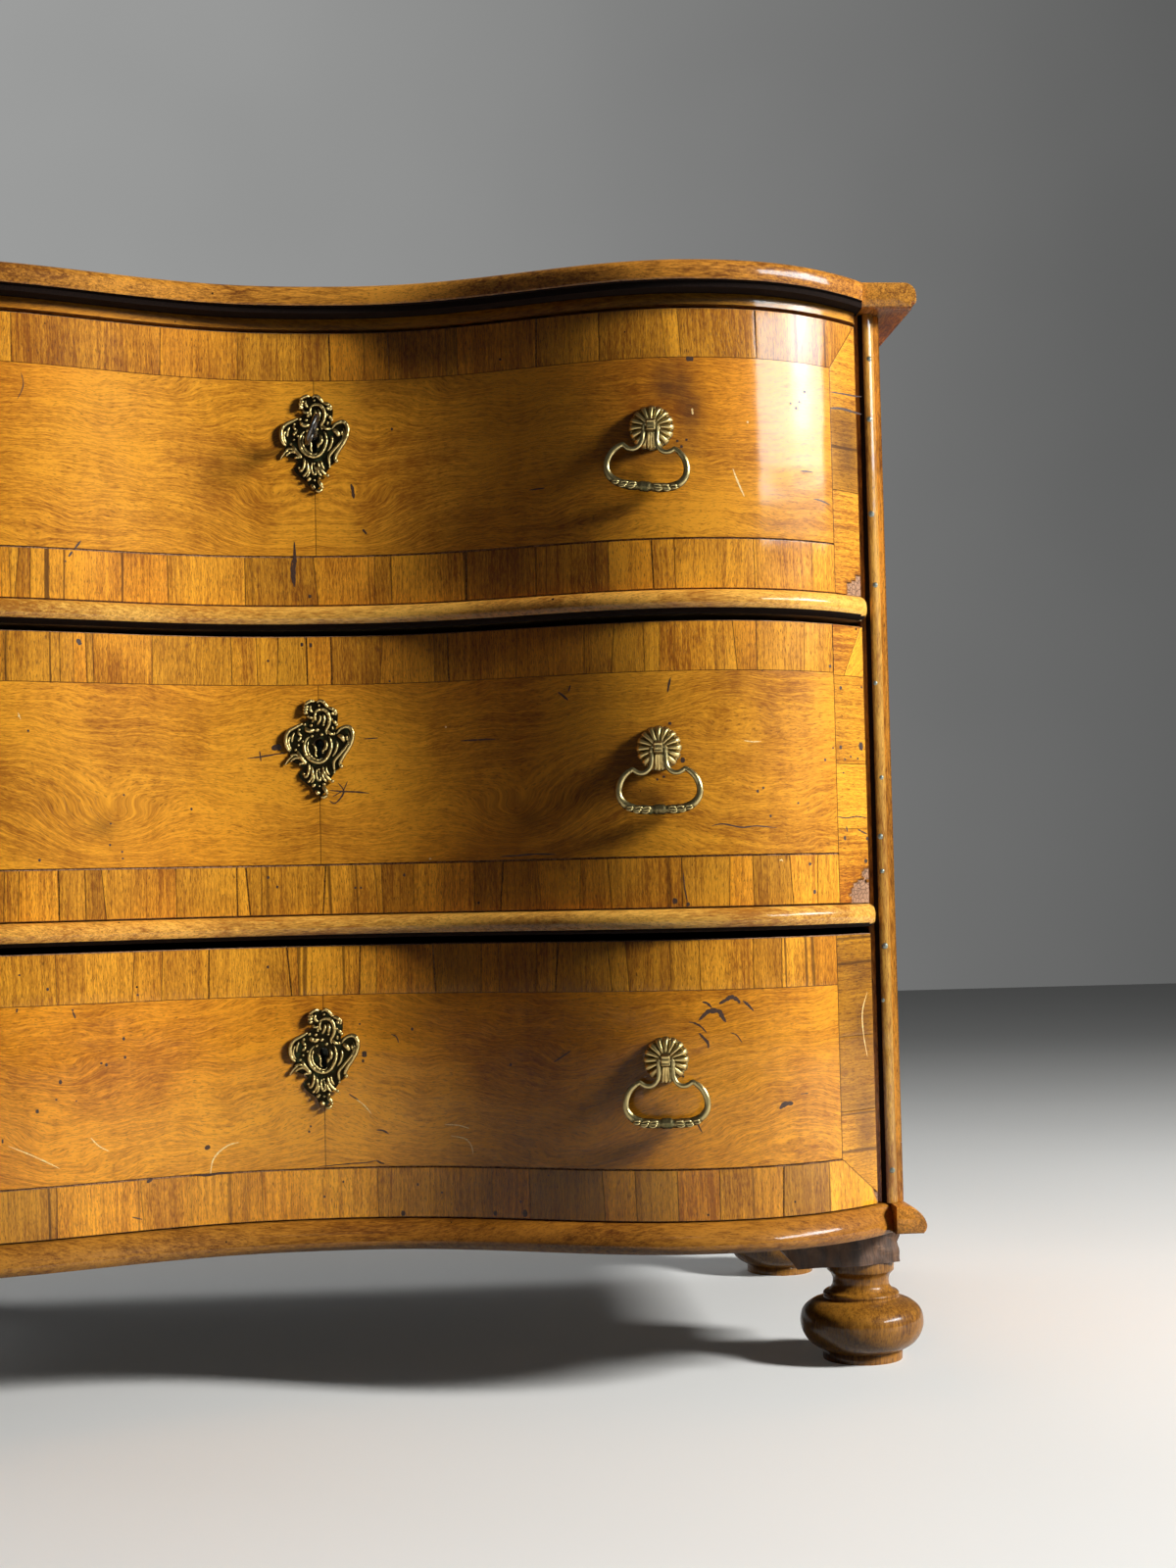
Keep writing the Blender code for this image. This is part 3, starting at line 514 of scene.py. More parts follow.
def turned(profile, steps=72):
    """A turned solid about Z from (radius, height) points."""
    angles = [2 * math.pi * i / steps for i in range(steps)]
    return loft([[(radius * math.cos(a), radius * math.sin(a), z) for a in angles] for radius, z in profile])


def joined(meshes):
    work = bmesh.new()
    for mesh in meshes:
        work.from_mesh(mesh)
    result = bpy.data.meshes.new("joined")
    work.to_mesh(result)
    work.free()
    return result


def smooth_run(points, steps):
    """Catmull-Rom through rows of numbers, steps rows for each span."""
    rows = [np.array(p, float) for p in points]
    result = []
    for i in range(len(rows) - 1):
        a, b, c, d = rows[max(i - 1, 0)], rows[i], rows[i + 1], rows[min(i + 2, len(rows) - 1)]
        for k in range(steps):
            t = k / steps
            result.append((2 * b + (c - a) * t + (2 * a - 5 * b + 4 * c - d) * t * t
                    + (3 * b - a - 3 * c + d) * t ** 3) / 2)
    return result + [rows[-1]]


def paint_shade(item, dirty):
    """Faces in shade get a near-black finish: painted shade on undersides and on sides turned into recesses."""
    item.data.materials.append(finish("sooty_wood"))
    for face in item.data.polygons:
        if dirty(face):
            face.material_index = len(item.data.materials) - 1


def pairs(row):
    """The points of a table's row, in millimetres."""
    return [(row[i] / 10, row[i + 1] / 10) for i in range(1, len(row), 2)]


def middle_of(name):
    """The middle of a node in plan, its half sizes, its foot and its top."""
    low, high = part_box(name)
    half = (high - low) / 2
    return Vector((low.x + half.x, low.y + half.y, 0.0)), half.x, half.y, low.z, high.z


def handed(places, hand):
    """Places along the right half, or the same ones mirrored to the left."""
    return places if hand > 0 else [-u for u in reversed(places)]


def hands(levels=("",)):
    """Every level with its left and its right."""
    return [(level, side, hand) for level in levels for side, hand in (("left", -1), ("right", 1))]


def set_attribute(mesh, name, values):
    mesh.attributes.new(name, "FLOAT", "POINT").data.foreach_set("value", np.array(values, np.float32))


# Geometry Nodes

def once(maker):
    """Keep the tree that a maker builds the first time."""
    kept = []

    def ask():
        if not kept:
            kept.append(maker())
        return kept[0]

    return ask


def new_tree(name, inputs):
    """A geometry tree with named inputs, returned with its bench and its input node."""
    tree = bpy.data.node_groups.new(name, "GeometryNodeTree")
    kinds = {float: "NodeSocketFloat", int: "NodeSocketInt", tuple: "NodeSocketVector",
            type(None): "NodeSocketMaterial"}
    tree.interface.new_socket("Geometry", in_out="INPUT", socket_type="NodeSocketGeometry")
    for label, value in inputs.items():
        socket = tree.interface.new_socket(label, in_out="INPUT", socket_type=kinds[type(value)])
        if value is not None:
            socket.default_value = value
    tree.interface.new_socket("Geometry", in_out="OUTPUT", socket_type="NodeSocketGeometry")
    bench = NodeBench(tree)
    return tree, bench, bench.wires(bench.node("NodeGroupInput"))


def end_tree(tree, bench, geometry, material):
    real = bench.add("GeometryNodeRealizeInstances", {0: geometry})
    bench.node("NodeGroupOutput", {0: bench.add("GeometryNodeSetMaterial", {"Geometry": real, "Material": material})})
    return tree


def through_tree(mesh, tree, **inputs):
    """Run a mesh through a geometry tree and return the plain mesh that comes out."""
    item = linked("draft", mesh)
    modifier = item.modifiers.new("shape", "NODES")
    modifier.node_group = tree
    named = {label.replace("_", " "): value for label, value in inputs.items()}
    for socket in tree.interface.items_tree:
        if socket.in_out == "INPUT" and socket.name in named:
            modifier[socket.identifier] = named[socket.name]
    bpy.context.view_layer.update()
    result = bpy.data.meshes.new_from_object(item.evaluated_get(bpy.context.evaluated_depsgraph_get()))
    item.modifiers.clear()
    bpy.data.objects.remove(item)
    return result


@once
def front_tree():
    """A closed profile, drawn as (outward, height), swept straight and then bent along the front."""
    s = sizes()
    tree, bench, given = new_tree("Moulding along the front", {
        "Half length": 0.4, "Steps": 240, "Bow depth": s.bow_depth, "Bow reach": s.bow_reach, "Bow power": s.bow_power,
        "End return": s.end_return, "End power": s.end_power, "Opening half": opening_half, "Hollow": hollow_y,
        "End round": 0.0001, "End share": 1.0, "Middle height": 0.0, "Finish": None,
    })
    half, bow = given["Half length"], given["Bow reach"]
    line = bench.add("GeometryNodeCurvePrimitiveLine", {"Start": bench.join(half * -1.0), "End": bench.join(half)})
    line = bench.add("GeometryNodeResampleCurve", {"Curve": line, "Count": given["Steps"]})
    line = bench.add("GeometryNodeSetCurveNormal", {"Curve": line}, mode="Z_UP")
    profile = bench.add("GeometryNodeMeshToCurve", {0: given["Geometry"]})
    swept = bench.add("GeometryNodeCurveToMesh", {"Curve": line, "Profile Curve": profile, "Fill Caps": True})
    place = bench.split(bench.add("GeometryNodeInputPosition"))
    reach = abs(place[0])
    swing = (1.0 - bench.math("COSINE", reach * math.pi / bow)) / 2.0
    inner = swing ** given["Bow power"] * given["Bow depth"]
    past = bench.math("MAXIMUM", reach - bow, 0.0) / (given["Opening half"] - bow)
    outer = given["Bow depth"] - past ** given["End power"] * given["End return"]
    beyond = bench.math("GREATER_THAN", reach, bow)
    forward = outer * beyond + inner * (1.0 - beyond)
    near = 1.0 - bench.math("DIVIDE", half - reach, given["End round"], clamp=True)
    grow = bench.math("SQRT", 1.0 - near * near) * (1.0 - given["End share"]) + given["End share"]
    across = bench.math("MINIMUM", place[1], 0.0) * grow + bench.math("MAXIMUM", place[1], 0.0) + given["Hollow"]
    height = (place[2] - given["Middle height"]) * grow + given["Middle height"]
    bent = bench.join(place[0], across - forward, height)
    return end_tree(tree, bench, bench.add("GeometryNodeSetPosition", {"Geometry": swept, "Position": bent}),
            given["Finish"])


@once
def cast_tree():
    """Lines with a thickness at each point become cast rods. Ribs twist round them."""
    tree, bench, given = new_tree("Cast rods", {"Ribs": 5, "Rib depth": 0.0, "Finish": None})
    thick, twist = (bench.add("GeometryNodeInputNamedAttribute", {"Name": name}, data_type="FLOAT")
            for name in ("thick", "twist"))
    lines = bench.add("GeometryNodeMeshToCurve", {0: given["Geometry"]})
    lines = bench.add("GeometryNodeSetCurveTilt", {"Curve": lines, "Tilt": twist})
    lines = bench.add("GeometryNodeSetCurveRadius", {"Curve": lines, "Radius": thick})
    star = bench.add("GeometryNodeCurveStar", {"Points": given["Ribs"], "Inner Radius": 1.0 - given["Rib depth"],
            "Outer Radius": 1.0})
    maker = bench.node("GeometryNodeCurveToMesh", {"Curve": lines, "Profile Curve": star, "Fill Caps": True})
    if "Scale" in maker.inputs:
        bench.feed(maker, {"Scale": thick})
    return end_tree(tree, bench, Wire(bench, maker.outputs[0]), given["Finish"])


@once
def ring_tree():
    """One wedge, instanced round an axis along local Z and welded into a rosette."""
    tree, bench, given = new_tree("Petals round a boss", {"Petals": 16, "Finish": None})
    points = bench.add("GeometryNodeMeshLine", {"Count": given["Petals"], "Offset": (0.0, 0.0, 0.0)})
    turn = bench.join(z=bench.add("GeometryNodeInputIndex") * (2 * math.pi) / given["Petals"])
    copies = bench.add("GeometryNodeInstanceOnPoints", {"Points": points, "Instance": given["Geometry"],
            "Rotation": turn})
    real = bench.add("GeometryNodeRealizeInstances", {0: copies})
    return end_tree(tree, bench, bench.add("GeometryNodeMergeByDistance", {"Geometry": real, "Distance": 0.00002}),
            given["Finish"])


@once
def nail_tree():
    """A shallow domed nail head on each point, a little larger or smaller at random."""
    tree, bench, given = new_tree("Nail heads", {"Radius": 0.0023, "Seed": 4, "Finish": None})
    head = bench.add("GeometryNodeMeshUVSphere", {"Segments": 12, "Rings": 6, "Radius": given["Radius"]})
    head = bench.add("GeometryNodeTransform", {"Geometry": head, "Scale": (1.0, 0.35, 1.0)})
    size = bench.add("FunctionNodeRandomValue", {"Seed": given["Seed"], 2: 0.75, 3: 1.15}, 1, data_type="FLOAT")
    copies = bench.add("GeometryNodeInstanceOnPoints", {"Points": given["Geometry"], "Instance": head, "Scale": size})
    return end_tree(tree, bench, copies, given["Finish"])


@once
def board_tree():
    """Boards side by side between two heights, each a little narrower than its place."""
    tree, bench, given = new_tree("Boards side by side", {"Boards": 4, "Width": 0.86, "Height": 0.7, "Thickness": 0.012,
            "Gap": 0.0008, "Finish": None})
    each = given["Height"] / given["Boards"]
    board = bench.add("GeometryNodeMeshCube", {"Size": bench.join(given["Width"], given["Thickness"],
            each - given["Gap"])})
    first = bench.join(z=(each - given["Height"]) * 0.5)
    line = bench.add("GeometryNodeMeshLine", {"Count": given["Boards"], "Start Location": first,
            "Offset": bench.join(z=each)})
    copies = bench.add("GeometryNodeInstanceOnPoints", {"Points": line, "Instance": board})
    return end_tree(tree, bench, copies, given["Finish"])


def closed_line(points):
    """A closed outline as loose edges, for a tree that sweeps it."""
    mesh = bpy.data.meshes.new("outline")
    mesh.from_pydata([(x, y, 0.0) for x, y in points], [(i, (i + 1) % len(points)) for i in range(len(points))], [])
    return mesh


# Veneers

# How far the rim of a sheet sinks, as a share of its wear
rim_drop = 0.05


class Veneers:
    """Collects sawn veneers, each a thin closed sheet with its own grain, tone and worn rim."""

    def __init__(self, place, back=-0.0002):
        self.place, self.back = place, back
        self.points, self.faces, self.grain = [], [], []
        self.marks = {"tone": [], "rim": [], "streak": [], "stain": []}

    def lay(self, us, vs, flow, tone=0.0, streak=0.0, keep=None, stain=None, slant=None):
        """One sheet over the stations us and vs. flow gives the grain map, keep leaves cells out, slant moves them."""
        s = sizes()
        slant = slant or (lambda u, v: (u, v))
        kept = [(i, j) for i, j in product(range(len(us) - 1), range(len(vs) - 1))
                if keep is None or keep(*slant((us[i] + us[i + 1]) / 2, (vs[j] + vs[j + 1]) / 2))]
        there = set(kept)
        index = {}
        for side, i, j in product((0, 1), range(len(us)), range(len(vs))):
            around = [(i - a, j - b) in there for a in (0, 1) for b in (0, 1)]
            if not any(around):
                continue
            rim = 0.0 if all(around) else 1.0
            u, v = slant(us[i], vs[j])
            index[side, i, j] = len(self.points)
            self.points.append(self.place(u, v, self.back if side else s.veneer - s.rim * rim_drop * rim))
            self.grain.append(flow(u, v))
            for key, value in (("tone", tone), ("rim", rim), ("streak", streak),
                    ("stain", stain(u, v) if stain else 0.0)):
                self.marks[key].append(value)
        for i, j in kept:
            ring = ((i, j), (i + 1, j), (i + 1, j + 1), (i, j + 1))
            front, back = ([index[side, a, b] for a, b in ring] for side in (0, 1))
            self.faces += [front, back[::-1]]
            for k, beside in enumerate(((i, j - 1), (i + 1, j), (i, j + 1), (i - 1, j))):
                if beside not in there:
                    self.faces.append([front[k - 3], front[k], back[k], back[k - 3]])

    def mesh(self, name):
        mesh = mesh_from(self.points, self.faces, name)
        layer = mesh.uv_layers.new(name="grain")
        corners = np.zeros(len(mesh.loops), np.int32)
        mesh.loops.foreach_get("vertex_index", corners)
        layer.data.foreach_set("uv", np.array(self.grain, np.float32)[corners].ravel())
        for key, values in self.marks.items():
            set_attribute(mesh, key, values)
        return mesh


def stations(low, high, step, extra=()):
    """Evenly spaced places between two edges, with one just inside each edge for its worn rim."""
    rim = sizes().rim
    count = max(int(round((high - low) / step)), 1)
    inner = [low + rim + (high - low - 2 * rim) * i / count for i in range(count + 1)]
    places = sorted([low, high] + inner + [e for e in extra if low < e < high])
    return [p for i, p in enumerate(places) if i == 0 or p - places[i - 1] > 0.0001]


def between_joints(low, high, step, extra=()):
    """Stations from joint to joint, with half of the gap left at each."""
    return stations(low + sizes().joint / 2, high - sizes().joint / 2, step, extra)


# Joints of the crossbands, across from the middle. Those near the left end mirror the ones on the right.
top_joints = {
    "upper": (-0.2187, -0.115, -0.0578, 0.0128, 0.0584, 0.103, 0.1113, 0.1711, 0.2175, 0.2654, 0.2771, 0.3361),
    "middle": (-0.1873, -0.1779, -0.1692, -0.1644, -0.1233, -0.0654, -0.0463, -0.0307, -0.0083, 0.0105, 0.0489, 0.0896,
               0.1001, 0.1518, 0.2017, 0.2225, 0.2455, 0.257, 0.3138, 0.3306, 0.3696),
    "lower": (-0.192, -0.139, -0.119, -0.0852, -0.0253, -0.0187, 0.0283, 0.0411, 0.0852, 0.1208, 0.134, 0.1616,
              0.1767, 0.2152, 0.2281, 0.2595, 0.2813, 0.3221, 0.3443, 0.3708),
}
bottom_joints = {
    "upper": (-0.2208, -0.2161, -0.2068, -0.1114, -0.0544, -0.0006, 0.0446, 0.0575, 0.1153, 0.1675, 0.2208, 0.2532,
              0.2699, 0.3305, 0.378),
    "middle": (-0.2266, -0.2167, -0.1895, -0.1715, -0.1588, -0.1079, -0.0635, -0.0554, -0.0452, 0.0024, 0.0421,
               0.0466, 0.0706, 0.1168, 0.1374, 0.165, 0.1951, 0.2165, 0.2696, 0.3056, 0.3236, 0.3539, 0.3759),
    "lower": (-0.1929, -0.1347, -0.0477, 0.0396, 0.1255, 0.1538, 0.2073, 0.2307, 0.2613, 0.2924, 0.3411, 0.3789),
}
# Heights of the joints in the end bands, and where these bands start
end_joints = {"upper": (0.682, 0.746), "middle": (0.420, 0.470, 0.538), "lower": (0.205, 0.262)}
end_starts = {"upper": 0.398, "middle": 0.3945, "lower": 0.3905}
band_tones = {
    ("lower", "bottom"): {-1: -0.6, 5: -0.75, 6: 0.2, 7: -0.45, 8: 0.25, 9: -0.15, 10: -0.8, 11: 0.6},
    ("middle", "bottom"): {20: -0.5, 21: 0.5},
    ("lower", "top"): {17: -0.4, 18: 0.4},
}
# Missing corners: across, up, half width and half height
bites = {
    "upper": ((0.418, 0.6050, 0.0090, 0.0085), (0.421, 0.6125, 0.0035, 0.0060)),
    "middle": ((0.416, 0.3690, 0.0115, 0.0115), (0.421, 0.3850, 0.0050, 0.0050)),
    "lower": (),
}
# Stains: across, up, width, height and depth of colour
smears = {
    "upper": ((0.270, 0.757, 0.013, 0.015, 1.00), (0.284, 0.735, 0.010, 0.022, 0.85),
            (0.262, 0.703, 0.022, 0.008, 0.85), (0.413, 0.714, 0.011, 0.030, 0.60)),
    "middle": ((0.305, 0.545, 0.007, 0.010, 0.20),),
    "lower": ((0.413, 0.190, 0.012, 0.030, 0.60), (0.412, 0.268, 0.014, 0.022, 0.55),
            (0.412, 0.310, 0.014, 0.012, 0.40), (0.26, 0.200, 0.025, 0.008, 0.25)),
}


def smeared(level, x, z):
    return sum(d * math.exp(-((x - a) / w) ** 2 - ((z - b) / h) ** 2) for a, b, w, h, d in smears[level])


class CHEST_OT_drawer_veneers(bpy.types.Operator):
    """Lay the crossbands, end bands and book-matched field on each drawer front"""

    bl_idname = "chest.drawer_veneers"
    bl_label = "Drawer veneers"

    def execute(self, context):
        s = sizes()
        for row, level in enumerate(levels):
            low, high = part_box("drawer_front_" + level)
            self.bands(level, row, low.z + s.joint, high.z - s.joint)
            self.field(level, row, low.z + s.band + 0.001, high.z - s.band)
        return {"FINISHED"}

    def field(self, level, row, low, high):
        s = sizes()
        end = end_starts[level]
        shift = row + 1 - low
        sheets = Veneers(on_front)
        slot_half = 0.0036
        cuts = (keyholes[level] - 0.0136, keyholes[level] + slot_half)

        def keep(x, z):
            return abs(x) > slot_half or not cuts[0] < z < cuts[1]

        def stain(x, z):
            return min(smeared(level, x, z) * (0.75 + 0.5 * noise.noise((x * 90, z * 90, row))), 1.0)

        for hand in (-1, 1):
            us = handed(between_joints(0.0, end, 0.005, (slot_half,)), hand)
            vs = stations(low + s.joint, high - s.joint, 0.0055, cuts)
            sheets.lay(us, vs, lambda x, z: (abs(run_along(x)), z + shift), 0.10 if hand < 0 else -0.02, 0.0, keep,
                    stain)
        new_piece("field_veneer_" + level, sheets.mesh("field"), "drawer_" + level, "field_veneer")

    def bands(self, level, row, low, high):
        s = sizes()
        rnd = random.Random(40 + row)
        sheets = Veneers(on_front)
        end = end_starts[level]

        def bitten(x, z):
            for a, b, w, h in bites[level]:
                ragged = 1 + 0.35 * noise.noise((x * 420, z * 420, row))
                if ((abs(x) - a) / w) ** 2 + ((z - b) / h) ** 2 < ragged and x > 0:
                    return False
            return True

        def stain(x, z):
            return min(smeared(level, x, z), 1.0)

        for kind, joints, bottom in (("top", top_joints[level], high - s.band), ("bottom", bottom_joints[level], low)):
            top = bottom + s.band
            mirrored = sorted(-x + rnd.uniform(-0.006, 0.006) for x in joints if x > 0.236)
            edges = [-end, *mirrored, *joints, end]
            gaps = [s.joint / 2 * rnd.choice((0.5, 0.8, 1.1, 1.1, 3.0)) for x in edges]
            leans = [rnd.uniform(-0.0006, 0.0006) * rnd.choice((1, 1, 3)) for x in edges]
            leans[0] = leans[-1] = 0.0
            for i in range(len(edges) - 1):
                a, b = edges[i] + gaps[i], edges[i + 1] - gaps[i + 1]
                if b - a < 0.003:
                    continue
                offset = (rnd.uniform(0, 8), rnd.uniform(0, 8))
                lean = rnd.uniform(-0.05, 0.05)
                tone = rnd.uniform(-0.35, 0.45)
                tone = band_tones.get((level, kind), {}).get(i - len(mirrored) - 1, tone)
                streak = max(rnd.uniform(-0.7, 1.0), 0.0)
                us = stations(a, b, 0.006)
                vs = stations(bottom + s.joint, top - s.joint, 0.012)
                half_way = (bottom + top) / 2

                def mitre(x, z):
                    share = (x - a) / (b - a)
                    return x + (leans[i] * (1 - share) + leans[i + 1] * share) * (z - half_way) / (top - half_way), z

                if (level, kind) in (("lower", "bottom"), ("upper", "top")) and i in (0, len(edges) - 2):
                    hand = -1 if i == 0 else 1
                    still, edge = (b, a) if i == 0 else (a, b)
                    place = self.mitre_x if kind == "bottom" else self.top_mitre_x
                    mitre = lambda x, z: (still + (place(z) * hand - still) * (x - still) / (edge - still), z)
                sheets.lay(us, vs, lambda x, z: (z + offset[0] + lean * x, run_along(x) + offset[1]), tone, streak,
                        bitten, stain, mitre)
        for hand in (-1, 1):
            cuts = [low, *end_joints[level], high]
            for number, (bottom, top) in enumerate(zip(cuts, cuts[1:])):
                offset = (rnd.uniform(0, 8), rnd.uniform(0, 8))
                a, b = end + s.joint / 2, drawer_half - 0.0002
                us = handed(stations(a, b, 0.0022), hand)
                vs = between_joints(bottom, top, 0.0022)
                tone = rnd.uniform(-0.15, 0.3)
                streak = rnd.uniform(0, 0.4)
                if (level, number, hand) == ("upper", 1, 1):
                    tone, streak = -0.8, 0.9
                if level == "lower" and hand == 1:
                    tone, streak = -0.9, 0.8
                shapes = [(None, lambda x, z: (run_along(x) + offset[0], z + offset[1]), tone)]
                if level == "upper" and number == len(cuts) - 2:
                    shapes = [(lambda x, z: (
                            x, bottom + (z - bottom) * (self.top_mitre_z(x) - bottom) / (top - bottom)),
                            shapes[0][1], tone)]
                if level == "lower" and number == 0:
                    shapes = [(lambda x, z: (
                            x, self.mitre_z(x) + (z - bottom) * (top - self.mitre_z(x)) / (top - bottom)),
                            shapes[0][1], -0.1)]
                if level == "middle" and number == len(cuts) - 2:
                    inner = lambda x, z: (hand * (a + (abs(x) - a) * (self.corner_x(z) - s.joint / 2 - a) / (b - a)), z)
                    outer = lambda x, z: (hand * (b - (b - abs(x)) * (b - self.corner_x(z) - s.joint / 2) / (b - a)), z)
                    shapes = [(inner, shapes[0][1], tone),
                            (outer, lambda x, z: (z + x + offset[0], z - x + offset[1]), 0.35)]
                for shape, flow, shade in shapes:
                    sheets.lay(us, vs, flow, shade, streak, bitten, stain, shape)
        new_piece("band_veneer_" + level, sheets.mesh("bands"), "drawer_" + level, "band_veneer")

    def mitre_x(self, z):
        """Where the mitre of the lower corners crosses a height."""
        return min(max(0.390 + (0.170 - z) * 1.083, 0.390), drawer_half - 0.0006)

    def mitre_z(self, x):
        return 0.170 + sizes().joint - (abs(x) - 0.390) / 1.083

    def top_mitre_x(self, z):
        """Where the mitre of the upper drawer's top corners crosses a height."""
        start, high = end_starts["upper"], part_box("drawer_front_upper")[1].z
        share = min(max((z - high + sizes().band) / sizes().band, 0.0), 1.0)
        return start + (drawer_half - 0.0006 - start) * share

    def top_mitre_z(self, x):
        start, high = end_starts["upper"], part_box("drawer_front_upper")[1].z
        share = min(max((abs(x) - start) / (drawer_half - 0.0006 - start), 0.0), 1.0)
        return high - sizes().band + sizes().band * share - 2 * sizes().joint

    def corner_x(self, z):
        """The slanted joint of the small triangle let into the middle drawer's upper corners."""
        return 0.404 + 0.0165 * min(max((z - 0.539) / 0.038, 0.0), 1.0)


# Cracks, scratches and blots: width in millimetres, then across from the middle and up from the floor for
# each point, in tenths. A row with one point is a worm hole or a spot.
dark_marks = {
    "upper": (
        (4.3, 2820, 7753, 2876, 7751), (2.5, 2740, 7128), (2.5, 2771, 7086), (2.2, 2809, 7138), (2.2, 3755, 7547),
        (2.2, 3679, 7411), (1.8, 3634, 7443), (1.8, 3708, 7462), (1.2, 3696, 6927, 3746, 6932, 3812, 6931),
        (1.3, 3806, 6726, 3876, 6718, 3957, 6694), (2.5, 277, 6957, 291, 6911, 298, 6842),
        (1.8, 362, 6604, 392, 6565), (2.2, 602, 7378), (2.6, -165, 6510, -165, 6381, -171, 6267, -170, 6160),
        (1.4, -186, 6370, -189, 6270, -182, 6190), (3.2, -52, 6087), (1.4, -1719, 6462, -1765, 6397),
        (1.4, -1779, 6378, -1806, 6336), (1.2, -1828, 6300),
        (0.7, -2119, 7691, -2104, 7619, -2113, 7563, -2146, 7487),
        (1.3, 3982, 7578, 4083, 7584, 4196, 7588, 4284, 7599), (1.9, 3978, 7451, 4079, 7465, 4182, 7461, 4279, 7458),
        (1.6, -113, 7145, -91, 7083), (1.2, 1638, 6827, 1754, 6832),
    ),
    "middle": (
        (1.2, -547, 4838, -431, 4852, -246, 4881), (1.2, -452, 4895, -443, 4814),
        (4.5, -362, 4911, -324, 4921, -284, 4922), (3.2, -1752, 5724, -1730, 5679), (2, -378, 5588),
        (2.4, -400, 3924), (1.9, -334, 3850), (2.2, -2024, 4082), (1.9, -963, 4454), (1.9, -2092, 5034),
        (1.6, -1443, 4562), (1.4, -1536, 4347), (1.7, -1542, 4188), (1.6, -1458, 4136), (1.7, -1454, 4086),
        (2.9, -119, 5713), (3, -52, 5708), (1.3, 68, 4584, 176, 4573, 276, 4568, 380, 4555),
        (1.2, 71, 4505, 120, 4485, 184, 4570, 140, 4641), (1, 179, 4573, 213, 4651), (0.9, 96, 4533, 179, 4579),
        (1.3, 1084, 4937, 1215, 4939, 1353, 4939), (1, 344, 4975, 456, 4981),
        (1.6, 1819, 5274, 1856, 5243, 1892, 5207), (1, 1911, 5322, 1896, 5270), (1.9, 550, 5417), (2, 636, 3920),
        (1.9, 260, 3830), (1.9, 303, 3829), (1.3, 1364, 4042, 1492, 4048, 1645, 4055, 1783, 4047),
        (1.4, 2648, 5350, 2634, 5297, 2623, 5238), (1.1, 2928, 4233, 3014, 4246, 3156, 4219, 3272, 4227, 3435, 4210),
        (4.3, 2724, 4728), (2.9, 2634, 5005), (1.9, 2532, 4588), (2.2, 2581, 4607), (2.4, 3286, 4487),
        (1.7, 3332, 4512), (2, 3384, 4300), (1.7, 3610, 4396), (1.9, 3848, 4726), (1.6, 3921, 4818),
        (6.1, 4180, 4840), (2.9, 3990, 4826), (2.9, 4005, 5284), (1.6, 4202, 5300), (1.6, 4026, 4734),
        (1.6, 4080, 4756), (1.6, 4146, 4744), (1.4, 4010, 4630),
        (1.1, 3943, 4294, 4028, 4283, 4116, 4296, 4224, 4285), (1.3, 4127, 4196, 4169, 4180, 4220, 4158),
        (1.3, 4022, 4219, 4031, 4175), (3, 4006, 4129), (3, 4216, 4125), (2.9, 4180, 3955, 4213, 3949),
        (2.5, 3915, 5446), (5, 2642, 3680), (3.3, 2738, 3654), (0.9, 2707, 3896, 2715, 3770, 2735, 3672),
        (2.5, 3695, 3935), (3.2, 3728, 3724),
    ),
    "lower": (
        (2.2, -1462, 2746), (2.2, -1454, 2608), (1.9, -1618, 2574), (2.2, -1584, 2560), (2.9, -1897, 2455),
        (1.6, -1926, 2329), (1.2, -1790, 2309), (2.9, -2055, 2253), (1.4, -2289, 2069, -2290, 2037),
        (1.4, -2184, 2998), (1.2, -2187, 2984), (1.4, -1810, 2976), (1.2, -1810, 2969, -1791, 2913),
        (3.2, -899, 1894, -882, 1896, -860, 1907), (2.5, -1313, 1669, -1298, 1680, -1272, 1696),
        (1.1, -1419, 1426, -1385, 1414, -1347, 1401), (1.7, -2167, 3247), (2.2, -1978, 3136), (2.2, -414, 3241),
        (1.9, -1361, 3066), (1.9, -979, 1702, -890, 1689, -799, 1698, -693, 1698), (3.6, 307, 2580, 309, 2533),
        (2.3, 297, 2506), (1.7, 276, 2788), (2.2, 676, 2741), (1, 514, 2705, 553, 2685, 572, 2637),
        (1.1, 184, 2259, 215, 2236, 257, 2210), (1.4, 391, 1978, 438, 1974, 485, 1948),
        (1.3, 1730, 2490, 1794, 2533, 1858, 2577), (2.2, 1414, 2470), (1.9, -109, 2020), (1.9, -121, 1980),
        (1.4, 384, 1750, 418, 1730, 449, 1721), (4.3, 584, 1344), (4, 1278, 1352), (5, 1498, 1358), (1.9, 698, 1562),
        (1.9, 880, 1501), (1.9, 1468, 1444), (2, -12, 1484), (1.7, 132, 1592),
        (0.9, -55, 1712, 167, 1727, 308, 1733, 387, 1747),
        (3.2, 2951, 2911, 3008, 2941, 3046, 2959, 3093, 2934, 3107, 2910), (1.8, 3131, 2928, 3168, 2899, 3211, 2851),
        (3.6, 2798, 2794, 2851, 2844, 2883, 2861, 2949, 2855, 2972, 2817, 2999, 2775),
        (1.8, 2825, 2928, 2862, 2917, 2894, 2884), (1.3, 2719, 2783, 2769, 2772, 2815, 2743, 2852, 2700),
        (2.2, 2796, 2698, 2827, 2664, 2859, 2626, 2863, 2585), (0.9, 3030, 2695, 3077, 2676, 3118, 2618),
        (3.6, 3395, 2116, 3441, 2150, 3506, 2151), (1.3, 2753, 2077, 2774, 2021, 2801, 1966), (1.7, 2626, 2388),
        (1.7, 2672, 2382), (1.7, 2694, 2327), (1, 3564, 2216, 3631, 2217),
    ),
}
